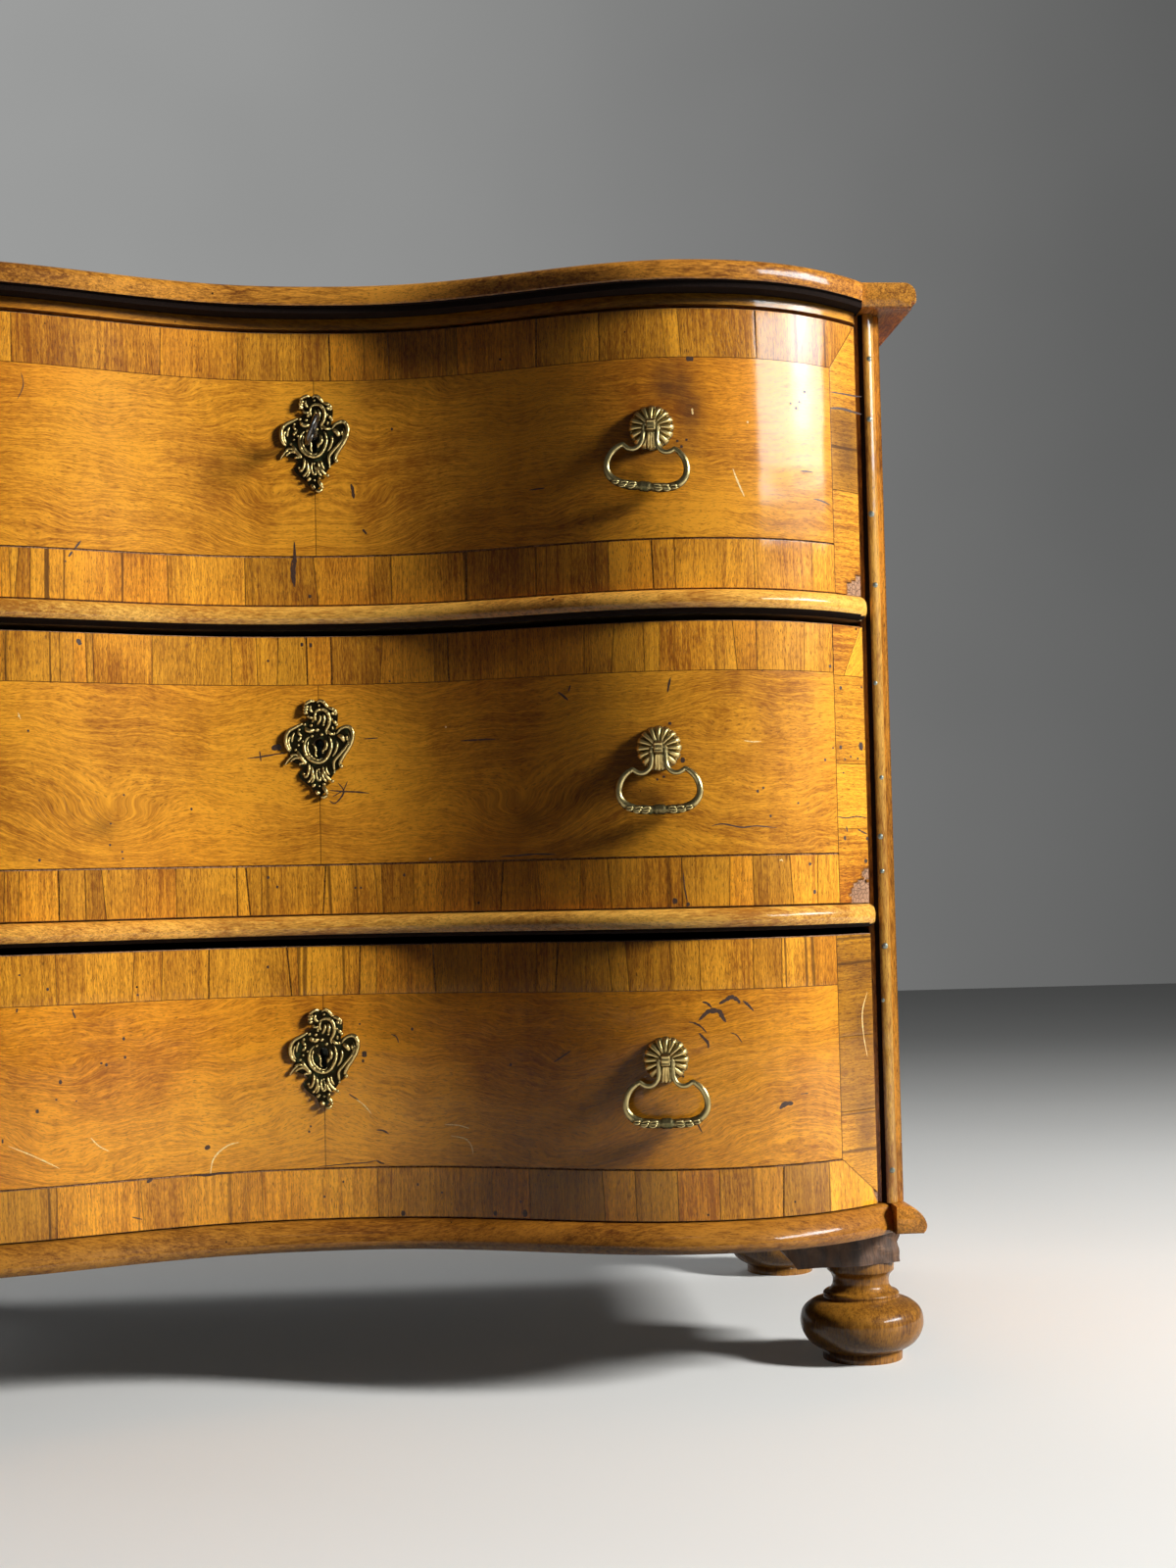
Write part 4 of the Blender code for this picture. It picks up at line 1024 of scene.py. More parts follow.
pale_marks = {
    "upper": (
        (1.6, 2857, 7375, 2859, 7350, 2862, 7328), (1.3, 3157, 6921, 3184, 6845, 3213, 6774, 3242, 6709),
        (1.7, 3282, 7276),
    ),
    "middle": (
        (1.6, 975, 5048), (1.9, 838, 4040), (0.9, 3446, 3965, 3464, 3970, 3473, 3956),
        (0.9, 3190, 4867, 3260, 4859, 3326, 4861), (1.2, -2154, 5140), (0.7, -2160, 5167, -2143, 5116),
    ),
    "lower": (
        (1.2, -859, 1696, -843, 1790, -797, 1856, -721, 1906, -645, 1922),
        (1, -2252, 2016, -2128, 1955, -2004, 1886, -1907, 1826), (0.9, -1696, 2033, -1640, 1968, -1570, 1923),
        (1, 910, 2016, 1019, 2009, 1096, 1986), (1.1, 955, 1930, 1063, 1908, 1109, 1854, 1120, 1792),
        (0.8, 238, 2217, 300, 2168, 355, 2100), (0.8, 4176, 2944, 4124, 2798, 4128, 2625, 4159, 2450),
    ),
}


class CHEST_OT_marks(bpy.types.Operator):
    """Lay the cracks, scratches, ink blots and pale scuffs of long use on the drawer fronts"""

    bl_idname = "chest.marks"
    bl_label = "Cracks and blots"

    def ribbon(self, width, line):
        """A thin closed strip along the veneer that tapers at both ends."""
        if len(line) == 1:
            (x, z), reach = line[0], 0.3 + 0.3 * width
            line = [(x - reach, z), (x + reach, z)]
        run = smooth_run(line, 6)
        loops = []
        out = sizes().veneer
        for k, (x, z) in enumerate(run):
            before, after = run[max(k - 1, 0)], run[min(k + 1, len(run) - 1)]
            ahead = Vector((after[0] - before[0], after[1] - before[1])).normalized()
            along = 2 * k / (len(run) - 1) - 1
            uneven = 1 + 0.5 * noise.noise((x * 0.9, z * 0.9, width))
            half = width / 2 * math.sqrt(max(1 - along * along, 0.03)) * uneven
            left, right = [((x - ahead.y * half * h) / 1000, (z + ahead.x * half * h) / 1000) for h in (-1, 1)]
            corners = ((left, -0.0002), (left, 0.00004), (right, 0.00004), (right, -0.0002))
            loops.append([on_front(*place, out + rise) for place, rise in corners])
        return loft(loops)

    def execute(self, context):
        for kind, table in (("dark_mark", dark_marks), ("pale_mark", pale_marks)):
            for level in levels:
                mesh = joined([self.ribbon(row[0], pairs(row)) for row in table[level]])
                new_piece(kind + "s_" + level, mesh, "drawer_" + level, kind, (), 30)
        return {"FINISHED"}


class CHEST_OT_case_veneers(bpy.types.Operator):
    """Veneer the two sides and the top board, with crossbands round a book-matched field"""

    bl_idname = "chest.case_veneers"
    bl_label = "Side and top veneers"

    def cuts(self, rnd, start, end, short, long):
        """Random lengths of crossband from one place to another, with an offset into the grain for each."""
        while start < end - 0.012:
            step = min(rnd.uniform(short, long), end - start)
            yield start, start + step, (rnd.uniform(0, 8), rnd.uniform(0, 8))
            start += step

    def look(self, rnd, dark=-0.3, light=0.35):
        """The tone and the streaks of one length of crossband."""
        return rnd.uniform(dark, light), max(rnd.uniform(-0.6, 0.8), 0)

    def framed(self, sheets, low, high, band, row):
        """A field in two halves inside a crossbanded border, over any flat face."""
        joint = sizes().joint
        rnd = random.Random(row)
        (u0, v0), (u1, v1) = low, high
        middle = (u0 + u1) / 2
        for a, b in ((u0 + band, middle), (middle, u1 - band)):
            us, vs = between_joints(a, b, 0.03), stations(v0 + band, v1 - band, 0.03)
            sheets.lay(us, vs, lambda u, v: (abs(u - middle) + 4.0, v + row * 0.7), rnd.uniform(-0.05, 0.1))
        for bottom in (v0, v1 - band):
            for a, b, offset in self.cuts(rnd, u0, u1, 0.03, 0.075):
                us = between_joints(a, b, 0.03)
                vs = stations(bottom + joint, bottom + band - joint, 0.03)
                sheets.lay(us, vs, lambda p, q: (q + offset[0], p + offset[1]), *self.look(rnd))
        for left in (u0, u1 - band):
            for a, b, offset in self.cuts(rnd, v0 + band, v1 - band, 0.05, 0.11):
                us = stations(left + joint, left + band - joint, 0.03)
                vs = between_joints(a, b, 0.03)
                sheets.lay(us, vs, lambda p, q: (p + offset[0], q + offset[1]), *self.look(rnd))

    def execute(self, context):
        s = sizes()
        for row, (_, side, hand) in enumerate(hands()):
            low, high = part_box("side_" + side)
            sheets = Veneers(lambda u, v, out: Vector((hand * (case_half + out), u, v)))
            self.framed(sheets, (low.y + 0.0004, low.z + 0.0004), (high.y - 0.0004, high.z - 0.0004), 0.045, 60 + row)
            new_piece("side_veneer_" + side, sheets.mesh("side"), "carcass", "case_veneer_scene")
        low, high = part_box("top_board")
        half = high.x - 0.0002
        front_gap = 0.0193

        def on_top(u, t, out):
            """u is across, t runs from 0 at the front curve to 1 at the back."""
            front = hollow_y + front_line(u) + front_gap
            return Vector((u, front + (rear_y - front) * t, total_height - s.veneer + out))

        count = 120
        outline = [on_top(-half + 2 * half * i / count, 0.0, 0.0) for i in range(count + 1)]
        outline += [Vector((half, rear_y, 0)), Vector((-half, rear_y, 0))]
        loops = [[(p.x, p.y, z) for p in outline] for z in (top_z, total_height - s.veneer)]
        new_piece("top_core", loft(loops), "carcass", "pine_long", ("top_board",), 30)
        sheets = Veneers(on_top, -0.0001)
        rnd = random.Random(77)
        band = 0.062
        for hand in (-1, 1):
            us = handed(stations(s.joint / 2, half - band, 0.012), hand)
            vs = [0.1 + 0.8 * k / 12 for k in range(13)]
            sheets.lay(us, vs, lambda u, t: (abs(u) + 6.0, on_top(u, t, 0).y), 0.05 * hand)
        for t0, t1 in ((0.0003, 0.0992), (0.9008, 0.9997)):
            for a, b, offset in self.cuts(rnd, -half, half, 0.03, 0.07):
                us = between_joints(a, b, 0.012)
                vs = [t0, t0 + 0.0015, (t0 + t1) / 2, t1 - 0.0015, t1]
                sheets.lay(us, vs, lambda p, t: (on_top(p, t, 0).y + offset[0], p + offset[1]),
                        *self.look(rnd, light=0.3))
        for hand in (-1, 1):
            us = handed(stations(half - band + s.joint, half - s.joint, 0.012), hand)
            for k in range(6):
                t0, t1 = 0.1 + 0.8 * k / 6 + 0.0004, 0.1 + 0.8 * (k + 1) / 6 - 0.0004
                offset = (rnd.uniform(0, 8), rnd.uniform(0, 8))
                sheets.lay(us, [t0, t0 + 0.0015, (t0 + t1) / 2, t1 - 0.0015, t1],
                        lambda p, t: (p + offset[0], on_top(p, t, 0).y + offset[1]), rnd.uniform(-0.3, 0.3))
        new_piece("top_veneer", sheets.mesh("top"), "carcass", "case_veneer_scene")
        # Painted shade: the rail's strip under the top moulding is darkened by its tone, as the moulding's shadow.
        strip = Veneers(on_front)
        low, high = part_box("top_rail")
        us = stations(-drawer_half, drawer_half, 0.006)
        strip.lay(us, stations(low.z + 0.0001, high.z - 0.0001, 0.009), lambda x, z: (run_along(x) + 5.0, z), -0.45)
        new_piece("rail_veneer", strip.mesh("rail"), "carcass", "case_veneer_scene")
        return {"FINISHED"}


# Nails of the posts: height, and turn towards the outside in radians
post_nails = ((0.156, 0.2), (0.287, -0.3), (0.329, 0.1), (0.387, 0.0), (0.414, -0.1), (0.460, 0.25),
              (0.534, -0.2), (0.611, 0.15), (0.667, -0.1), (0.742, 0.0), (0.790, 0.2))


class CHEST_OT_beads(bpy.types.Operator):
    """Half-round beads between the drawers and up the posts, with the posts' nails"""

    bl_idname = "chest.beads"
    bl_label = "Beads"

    def execute(self, context):
        for name in ("divider_bead_lower", "divider_bead_upper"):
            low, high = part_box(name)
            middle, rise = (low.z + high.z) / 2, (high.z - low.z) / 2
            angles = [math.pi * i / 18 for i in range(19)]
            points = [(0.002 + 0.0087 * math.sin(a) ** 0.92, middle - rise * math.cos(a)) for a in angles]
            points = [(-0.004, low.z), *points, (-0.004, high.z)]
            mesh = through_tree(closed_line([(out, -z) for out, z in points]), front_tree(), Half_length=high.x,
                    Steps=720, End_round=0.0075, End_share=0.35, Middle_height=middle, Finish=finish("worn_bead"))
            item = new_piece(name + "_smooth", mesh, "carcass", None, (name,), 50)
            # Painted shade: the lower part of each bead is near black, as the bead's shadow over the drawer below.
            paint_shade(item, lambda face: face.center.z < low.z + 0.0026)
        for _, side, hand in hands():
            name = "post_bead_" + side
            low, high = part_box(name)
            centre, radius, back = (low.x + high.x) / 2, (high.x - low.x) / 2, high.y
            loops = []
            for k in range(121):
                z = low.z + (high.z - low.z) * k / 120
                dent = 0.00022 * noise.noise((hand, z * 30, 4.0)) + 0.00015 * noise.noise((hand, z * 140, 9.0))
                angles = [math.pi * i / 16 for i in range(17)]
                loops.append([(centre - radius * math.cos(a), back - (radius + dent * math.sin(a)) * math.sin(a), z)
                        for a in angles])
            item = new_piece(name + "_smooth", loft(loops), "carcass", "worn_post", (name,), 50)
            # Painted shade: the side of the post turned to the drawers is near black, as the shade of the recess beside
            # it.
            paint_shade(item, lambda face: (face.center.x - centre) * hand < -0.5 * radius)
            spots = [(centre + hand * radius * math.sin(turn), back - radius * math.cos(turn) + 0.0002, z)
                    for z, turn in post_nails]
            points = bpy.data.meshes.new("spots")
            points.from_pydata(spots, [], [])
            mesh = through_tree(points, nail_tree(), Radius=sizes().nail, Seed=4, Finish=finish("old_iron"))
            new_piece("post_nails_" + side, mesh, "carcass", None, (), 60)
        return {"FINISHED"}


class CHEST_OT_mouldings(bpy.types.Operator):
    """Top and base mouldings: the front ones bent along the plan curve, the side ones straight"""

    bl_idname = "chest.mouldings"
    bl_label = "Mouldings"

    def top_points(self, seat, nose, radius=0.007):
        points = [(-seat, top_z), (-seat, total_height)]
        for angle in [math.pi / 2 * i / 12 for i in range(13)]:
            points.append((nose - radius + radius * math.sin(angle), total_height - radius + radius * math.cos(angle)))
        points += [(nose, top_z + 0.0062), (nose - 0.0006, top_z + 0.0050), (nose - 0.0016, top_z + 0.0045)]
        return points + [(nose - 0.004, top_z + 0.0043), (nose - 0.0043, top_z + 0.0020), (nose - 0.004, top_z)]

    def base_points(self, seat, nose):
        height = lower_z - base_z
        points = [(-seat, base_z), (-seat, lower_z)]
        shape = smooth_run([(0.00, 1.00), (0.20, 0.96), (0.55, 0.80), (0.86, 0.56), (1.00, 0.32), (0.96, 0.14),
                (0.80, 0.00)], 3)
        return points + [(nose * out, base_z + height * up) for out, up in shape]

    def straight(self, name, points, face, hand, front):
        """One side moulding, its front end slightly rounded by wear."""
        low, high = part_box(name)
        middle = [sum(p[k] for p in points) / len(points) for k in (0, 1)]
        loops = []
        for y, share in ((front, 0.84), (front + 0.0008, 0.91), (front + 0.0024, 0.965), (front + 0.0050, 1.0)):
            loops.append([(hand * (face + middle[0] + (out - middle[0]) * (share if out > 0.002 else 1.0)), y,
                    middle[1] + (z - middle[1]) * share) for out, z in points])
        for k in range(1, 30):
            y = front + 0.0050 + (rear_y - front - 0.0050) * k / 29
            loops.append([(hand * (face + out), y, z) for out, z in points])
        new_piece(name + "_smooth", loft(loops), "carcass", "walnut_deep", (name,), 50)

    def execute(self, context):
        for kind, points, wood in (("top", self.top_points(0.0190, 0.0210), "walnut_long"),
                ("base", self.base_points(0.012, 0.014), "base_walnut")):
            name = kind + "_front_moulding"
            outline = closed_line([(out, -z) for out, z in points])
            mesh = through_tree(outline, front_tree(), Half_length=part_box(name)[1].x, Steps=300, Finish=finish(wood))
            item = new_piece(name + "_smooth", mesh, "carcass", None, (name,), 40)
            if kind == "top":
                # Painted shade: the underside and lower fillet of the top moulding are near black, as its shadow.
                paint_shade(item, lambda face: face.normal.z < -0.75 or face.center.z < top_z + 0.0052)
        for _, side, hand in hands():
            name = "top_side_moulding_" + side
            self.straight(name, self.top_points(0.017, 0.027, 0.0105), case_half, hand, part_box(name)[0].y)
            name = "base_side_moulding_" + side
            self.straight(name, self.base_points(0.010, 0.014), case_half, hand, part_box(name)[0].y)
        return {"FINISHED"}


class CHEST_OT_feet(bpy.types.Operator):
    """Turned bun feet and the hewn blocks that hold the front pair"""

    bl_idname = "chest.feet"
    bl_label = "Feet"

    def profile(self):
        foot = [(0.0315, 0.0), (0.0318, 0.0065), (0.0312, 0.0076)]
        foot += smooth_run([(0.0330, 0.0080), (0.0415, 0.0132), (0.0472, 0.0212), (0.0490, 0.0302), (0.0466, 0.0390),
                (0.0395, 0.0450), (0.0310, 0.0480)], 6)
        foot += [(0.0300, 0.0484), (0.0297, 0.0494)]
        foot += smooth_run([(0.0297, 0.0497), (0.0302, 0.0515), (0.0288, 0.0531)], 3) + [(0.0262, 0.0535)]
        foot += smooth_run([(0.0250, 0.0545), (0.0228, 0.0580), (0.0224, 0.0625), (0.0236, 0.0665), (0.0262, 0.0694)],
                4)
        return foot + [(0.0266, 0.0700), (0.0268, 0.0730), (0.0268, 0.0775)]

    def execute(self, context):
        for _, side, hand in hands():
            for end in ("front", "rear"):
                name = "foot_" + end + "_" + side
                centre = middle_of(name)[0]
                mesh = turned(self.profile())
                mesh.transform(Matrix.Translation(centre))
                if end == "rear":
                    half = 0.0284
                    block = self.block([(-half, -half), (half, -half), (half, half), (-half, half)], 0.0774,
                            base_z - 0.0003, 0.0006, centre)
                    new_piece("block_rear_" + side, block, "carcass", "hewn_wood", (), 60)
                new_piece(name + "_turned", mesh, "carcass", "foot_walnut", (name,), 50)
            name = "foot_block_front_" + side
            centre, half_x, half_y, low, high = middle_of(name)
            outline = [(-hand * half_x, -half_y), (hand * half_x * 0.3, -half_y + 0.004),
                    (hand * half_x, -half_y + 0.020), (hand * half_x, half_y), (-hand * half_x, half_y)]
            block = self.block(outline, low, high, 0.0016, centre, hand)
            new_piece("block_front_" + side, block, "carcass", "hewn_wood", (name,), 60)
        return {"FINISHED"}

    def block(self, outline, low, high, rough, centre, hand=0):
        """A block cut by axe: dense faces, moved a little by a chopped pattern, bevelled below."""
        dense = []
        for a, b in zip(outline, outline[1:] + outline[:1]):
            dense += [(a[0] + (b[0] - a[0]) * k / 24, a[1] + (b[1] - a[1]) * k / 24) for k in range(24)]
        reach = max(abs(p[0]) for p in outline)
        loops = []
        for share in [k / 12 for k in range(13)]:
            z = low + (high - low) * share
            loop = []
            for x, y in dense:
                pull = 1.0
                if hand and x * hand < 0:
                    pull = 1.0 - 0.38 * (1 - share) ** 1.6 * (abs(x) / reach) ** 3
                chop = noise.noise((x * 55 + z * 60, y * 30, z * 45))
                chop += 0.6 * noise.noise((x * 160 + z * 240, y * 160, z * 90))
                shrink = 1 - max(rough * (chop + 0.6), 0.0) / reach
                loop.append((centre.x + x * pull * shrink, centre.y + y * shrink, z))
            loops.append(loop)
        return loft(loops)


# Brasses

def stroke_mesh(strokes):
    """Loose lines with a thickness and a twist at each point, for the casting tree."""
    rows = [(*row, 0.0)[:5] for line in strokes for row in line]
    edges, first = [], 0
    for line in strokes:
        edges += [(first + k - 1, first + k) for k in range(1, len(line))]
        first += len(line)
    mesh = bpy.data.meshes.new("strokes")
    mesh.from_pydata([row[:3] for row in rows], edges, [])
    set_attribute(mesh, "thick", [row[3] for row in rows])
    set_attribute(mesh, "twist", [row[4] for row in rows])
    return mesh


def rub_and_light_by_face(mesh, outward, low=0.05, extra=None):
    """Mark how rubbed or lit each point is: high where the casting faces a direction, low at its sides. Facing straight
    out it is wear; tilted towards the light it is painted highlight.
    """
    values = []
    for vertex in mesh.vertices:
        facing = max(vertex.normal.dot(outward), 0.0)
        share = low + (1 - low) * facing ** 1.5
        values.append(share * (extra(vertex.co) if extra else 1.0))
    if "rub" in mesh.attributes:
        mesh.attributes.remove(mesh.attributes["rub"])
    set_attribute(mesh, "rub", values)


# Outline of the escutcheon, in halves of its width and height
cartouche = (
    (-0.13, 1.00), (0.11, 0.99), (0.31, 0.87), (0.54, 0.79), (0.60, 0.69), (0.57, 0.49),
    (0.53, 0.38), (0.81, 0.45), (1.00, 0.36), (1.02, 0.22), (0.92, 0.07), (0.72, -0.12),
    (0.60, -0.24), (0.67, -0.36), (0.50, -0.50), (0.36, -0.64), (0.12, -0.79), (0.21, -0.88),
    (0.06, -1.00), (-0.04, -1.01), (-0.19, -0.93), (-0.26, -0.83), (-0.52, -0.69), (-0.65, -0.55),
    (-0.49, -0.41), (-0.75, -0.31), (-0.97, -0.22), (-0.87, -0.04), (-1.00, 0.11), (-1.02, 0.24),
    (-0.87, 0.40), (-0.63, 0.48), (-0.41, 0.56), (-0.28, 0.69), (-0.41, 0.79), (-0.38, 0.91),
)

# Scrolls of the escutcheon: thickness in millimetres, then across and up from the keyhole's round for each
# point, in tenths
scrolls = (
    (1.15, -72, 54, -103, 24, -118, -24, -109, -84, -79, -126, -37, -152, 5, -158, 41, -143, 68, -114, 88, -72, 99, -30,
            94, 18, 80, 54),
    (0.65, -82, 18, -94, -30, -85, -78, -61, -110, -28, -134, 5, -137, 29, -122),
    (0.6, -52, -6, -34, -30, -25, -60, -28, -96, -14, -118), (1.05, 44, 24, 59, -6, 56, -42, 35, -60, 29, -86),
    (1.4, -109, 126, -91, 102, -61, 96, -37, 108),
    (1.25, -126, 158, -180, 132, -234, 102, -263, 54, -263, -6, -246, -48, -225, -66),
    (0.85, -225, 60, -243, 24, -240, -18, -222, -51), (0.75, -195, 90, -210, 54, -216, 6),
    (0.95, -142, 48, -168, 18), (0.8, -170, 100, -154, 70, -134, 56),
    (1.2, -175, -60, -151, -108, -115, -155, -106, -170), (0.85, -231, -152, -204, -126, -168, -117, -145, -134),
    (0.8, -234, -102, -204, -93, -175, -96, -151, -114), (0.7, -276, -179, -240, -126, -204, -102),
    (0.8, -162, -176, -145, -164, -115, -167), (0.95, -85, -161, -82, -209, -91, -251, -109, -275, -124, -251),
    (0.95, -67, -185, -55, -233, -61, -281, -85, -311), (0.75, -43, -245, -46, -293, -67, -326),
    (0.75, -4, -215, -22, -221, -25, -263, -10, -299, 8, -299, 5, -257, -4, -221),
    (0.95, 29, -191, 35, -239, 65, -281, 100, -311), (0.85, 17, -233, 29, -281, 59, -320),
    (0.75, 53, -185, 59, -227, 82, -263),
    (1.35, 142, 69, 172, 108, 214, 128, 250, 120, 271, 78, 265, 18, 238, -42, 202, -96, 175, -143, 166, -179,
            175, -194),
    (1, 238, 78, 244, 30, 229, -18, 196, -60, 154, -108, 118, -155, 118, -203, 124, -233), (0.8, 220, 54, 229, 18),
    (0.85, 142, 18, 145, -30, 130, -78, 106, -114), (1.45, 154, 60, 184, 42, 205, 6),
    (1.15, 65, 66, 59, 102, 77, 132, 88, 173, 82, 221, 59, 257, 29, 269, -7, 263, -37, 239),
    (0.95, 65, 102, 94, 72, 124, 69), (0.95, 35, 233, 47, 191, 38, 149), (0.9, 11, 227, 11, 185, -13, 143),
    (0.9, -43, 191, -49, 167), (0.85, -19, 245, -31, 215, -19, 173), (1.15, 142, 152, 118, 176),
    (0.75, 109, 132, 112, 102), (1.1, 71, 281, 106, 275, 136, 251, 142, 227), (0.95, 103, 245, 124, 227),
    (1.05, -13, 323, 11, 341, 41, 329, 65, 299, 80, 278), (1.05, -28, 335, -61, 338, -91, 323, -115, 299),
    (0.9, -61, 305, -67, 269, -43, 245), (1.2, -121, 293, -79, 290), (1.2, -124, 272, -85, 266),
    (1.35, -118, 251, -91, 239), (0.85, -91, 221, -67, 203, -34, 206), (1.35, -28, -389, -4, -418),
    (1.25, 23, -347, 47, -383, 59, -409), (1.05, 5, -436, 35, -439, 59, -424), (1.15, -58, -353, -37, -335),
    (0.9, 29, -329, 44, -341),
)
beads = (
    (1.3, -5.5, 5.4), (1.45, 2.3, 6.6), (1.6, -1.3, 10.2), (1.3, -11.2, 14.9), (1.35, -6.1, 14.1), (1.2, -15.7, 10.8),
    (1.0, -13.0, 1.2), (0.95, -16.3, -1.8), (1.15, -18.7, -5.4), (1.1, -12.4, -24.8), (1.25, -8.5, -31.1),
            (0.95, -0.4, -21.5),
    (1.35, 10.4, -31.1), (1.65, 17.6, -19.3), (1.2, 12.4, 7.1), (1.0, 3.8, 14.3), (1.3, 14.4, 14.4), (1.2, 10.4, 18.6),
    (1.0, 0.5, 30.2), (0.95, -6.0, 27.0), (1.2, 13.6, 23.0), (0.95, -0.2, -35.0), (1.15, 5.9, -40.9),
            (0.9, 12.0, -24.0),
)


class CHEST_OT_escutcheons(bpy.types.Operator):
    """Rococo cartouches: a pierced ground and cast scrolls round each keyhole"""

    bl_idname = "chest.escutcheons"
    bl_label = "Escutcheons"

    def execute(self, context):
        for row, level in enumerate(levels):
            low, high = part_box("escutcheon_" + level)
            keyhole = keyholes[level]
            mesh = joined([self.ground(low, high, keyhole), self.casting(keyhole, row)])
            # Wear on the faces turned out; the ground plate behind the scrolls is held dark as painted shade in the
            # cartouche's open work.
            rub_and_light_by_face(mesh, Vector((0, -1, 0)), 0.02, lambda p: 0.10 if p.y > hollow_y - 0.0026 else 1.0)
            new_piece("escutcheon_cast_" + level, mesh, "drawer_" + level, "aged_brass",
                    ("escutcheon_" + level,), 50)
        return {"FINISHED"}

    def ground(self, low, high, keyhole):
        """The thin plate that the scrolls stand on, pierced for the key. It stands for the open work of the cartouche
        and is kept near the patina colour as painted shade.
        """
        centre_z = keyhole - 0.004
        outline = smooth_run([(0.0275 * x * 0.90, 0.039 * z * 0.93 + centre_z) for x, z in cartouche + cartouche[:1]],
                2)[:-1]
        front, back = hollow_y - 0.0022, hollow_y - 0.0008
        loops = [[(x, y, z) for x, z in outline] for y in (back, front)]
        plate = linked("plate", loft(loops))
        start = math.asin(0.0021 / 0.0035)
        angles = [start + (2 * math.pi - 2 * start) * i / 24 for i in range(25)]
        points = [(-0.0035 * math.sin(a), keyhole - 0.0035 * math.cos(a)) for a in angles]
        points += [(0.0021, keyhole - 0.0135), (-0.0021, keyhole - 0.0135)]
        hole = linked("hole", loft([[(x, y, z) for x, z in points] for y in (front - 0.004, back + 0.004)]))
        cut = plate.modifiers.new("cut", "BOOLEAN")
        cut.object, cut.solver = hole, "EXACT"
        bpy.context.view_layer.update()
        result = bpy.data.meshes.new_from_object(plate.evaluated_get(bpy.context.evaluated_depsgraph_get()))
        for item in (plate, hole):
            bpy.data.objects.remove(item)
        return result

    def casting(self, keyhole, row):
        rnd = random.Random(90 + row)
        strokes = []
        for row in scrolls:
            width = row[0]
            path = [(x / 1000 * 0.955, z / 1000 * 0.955 + keyhole) for x, z in pairs(row)]
            if len(path) == 2:
                path = [path[0], tuple((a + b) / 2 for a, b in zip(*path)), path[1]]
            run = smooth_run(path, 5)
            line = []
            for k, (x, z) in enumerate(run):
                t = k / (len(run) - 1)
                swell = math.sqrt(max(1 - abs(2 * t - 1) ** 3.2, 0.03))
                rise = 0.0024 + 0.0013 * math.sin(math.pi * t) + 0.00035 * rnd.uniform(-1, 1) * (0 < k < len(run) - 1)
                line.append((x, hollow_y - rise, z, width / 1000 * swell * 1.30))
            strokes.append(line)
        for width, x, z in beads:
            radius, rows = width / 1000, [-1 + k / 4 for k in range(9)]
            strokes.append([(x / 1000 * 0.955 + radius * t, hollow_y - 0.0032, z / 1000 * 0.955 + keyhole,
                    radius * math.sqrt(max(1 - t * t, 0.02))) for t in rows])
        return through_tree(stroke_mesh(strokes), cast_tree(), Ribs=4, Rib_depth=0.0, Finish=finish("aged_brass"))


def handle_place(level, hand):
    """Frame of one handle: local X along the front, local Z up, local -Y out of the drawer."""
    x, step = hand * handle_reach, 0.0165
    slope = (front_line(x + step) - front_line(x - step)) / (2 * step)
    aside = Matrix.Translation((-0.0045 if hand < 0 else 0.0, 0, 0))
    return Matrix.Translation(on_front(x, handle_heights[level])) @ Matrix.Rotation(math.atan(slope), 4, "Z") @ aside


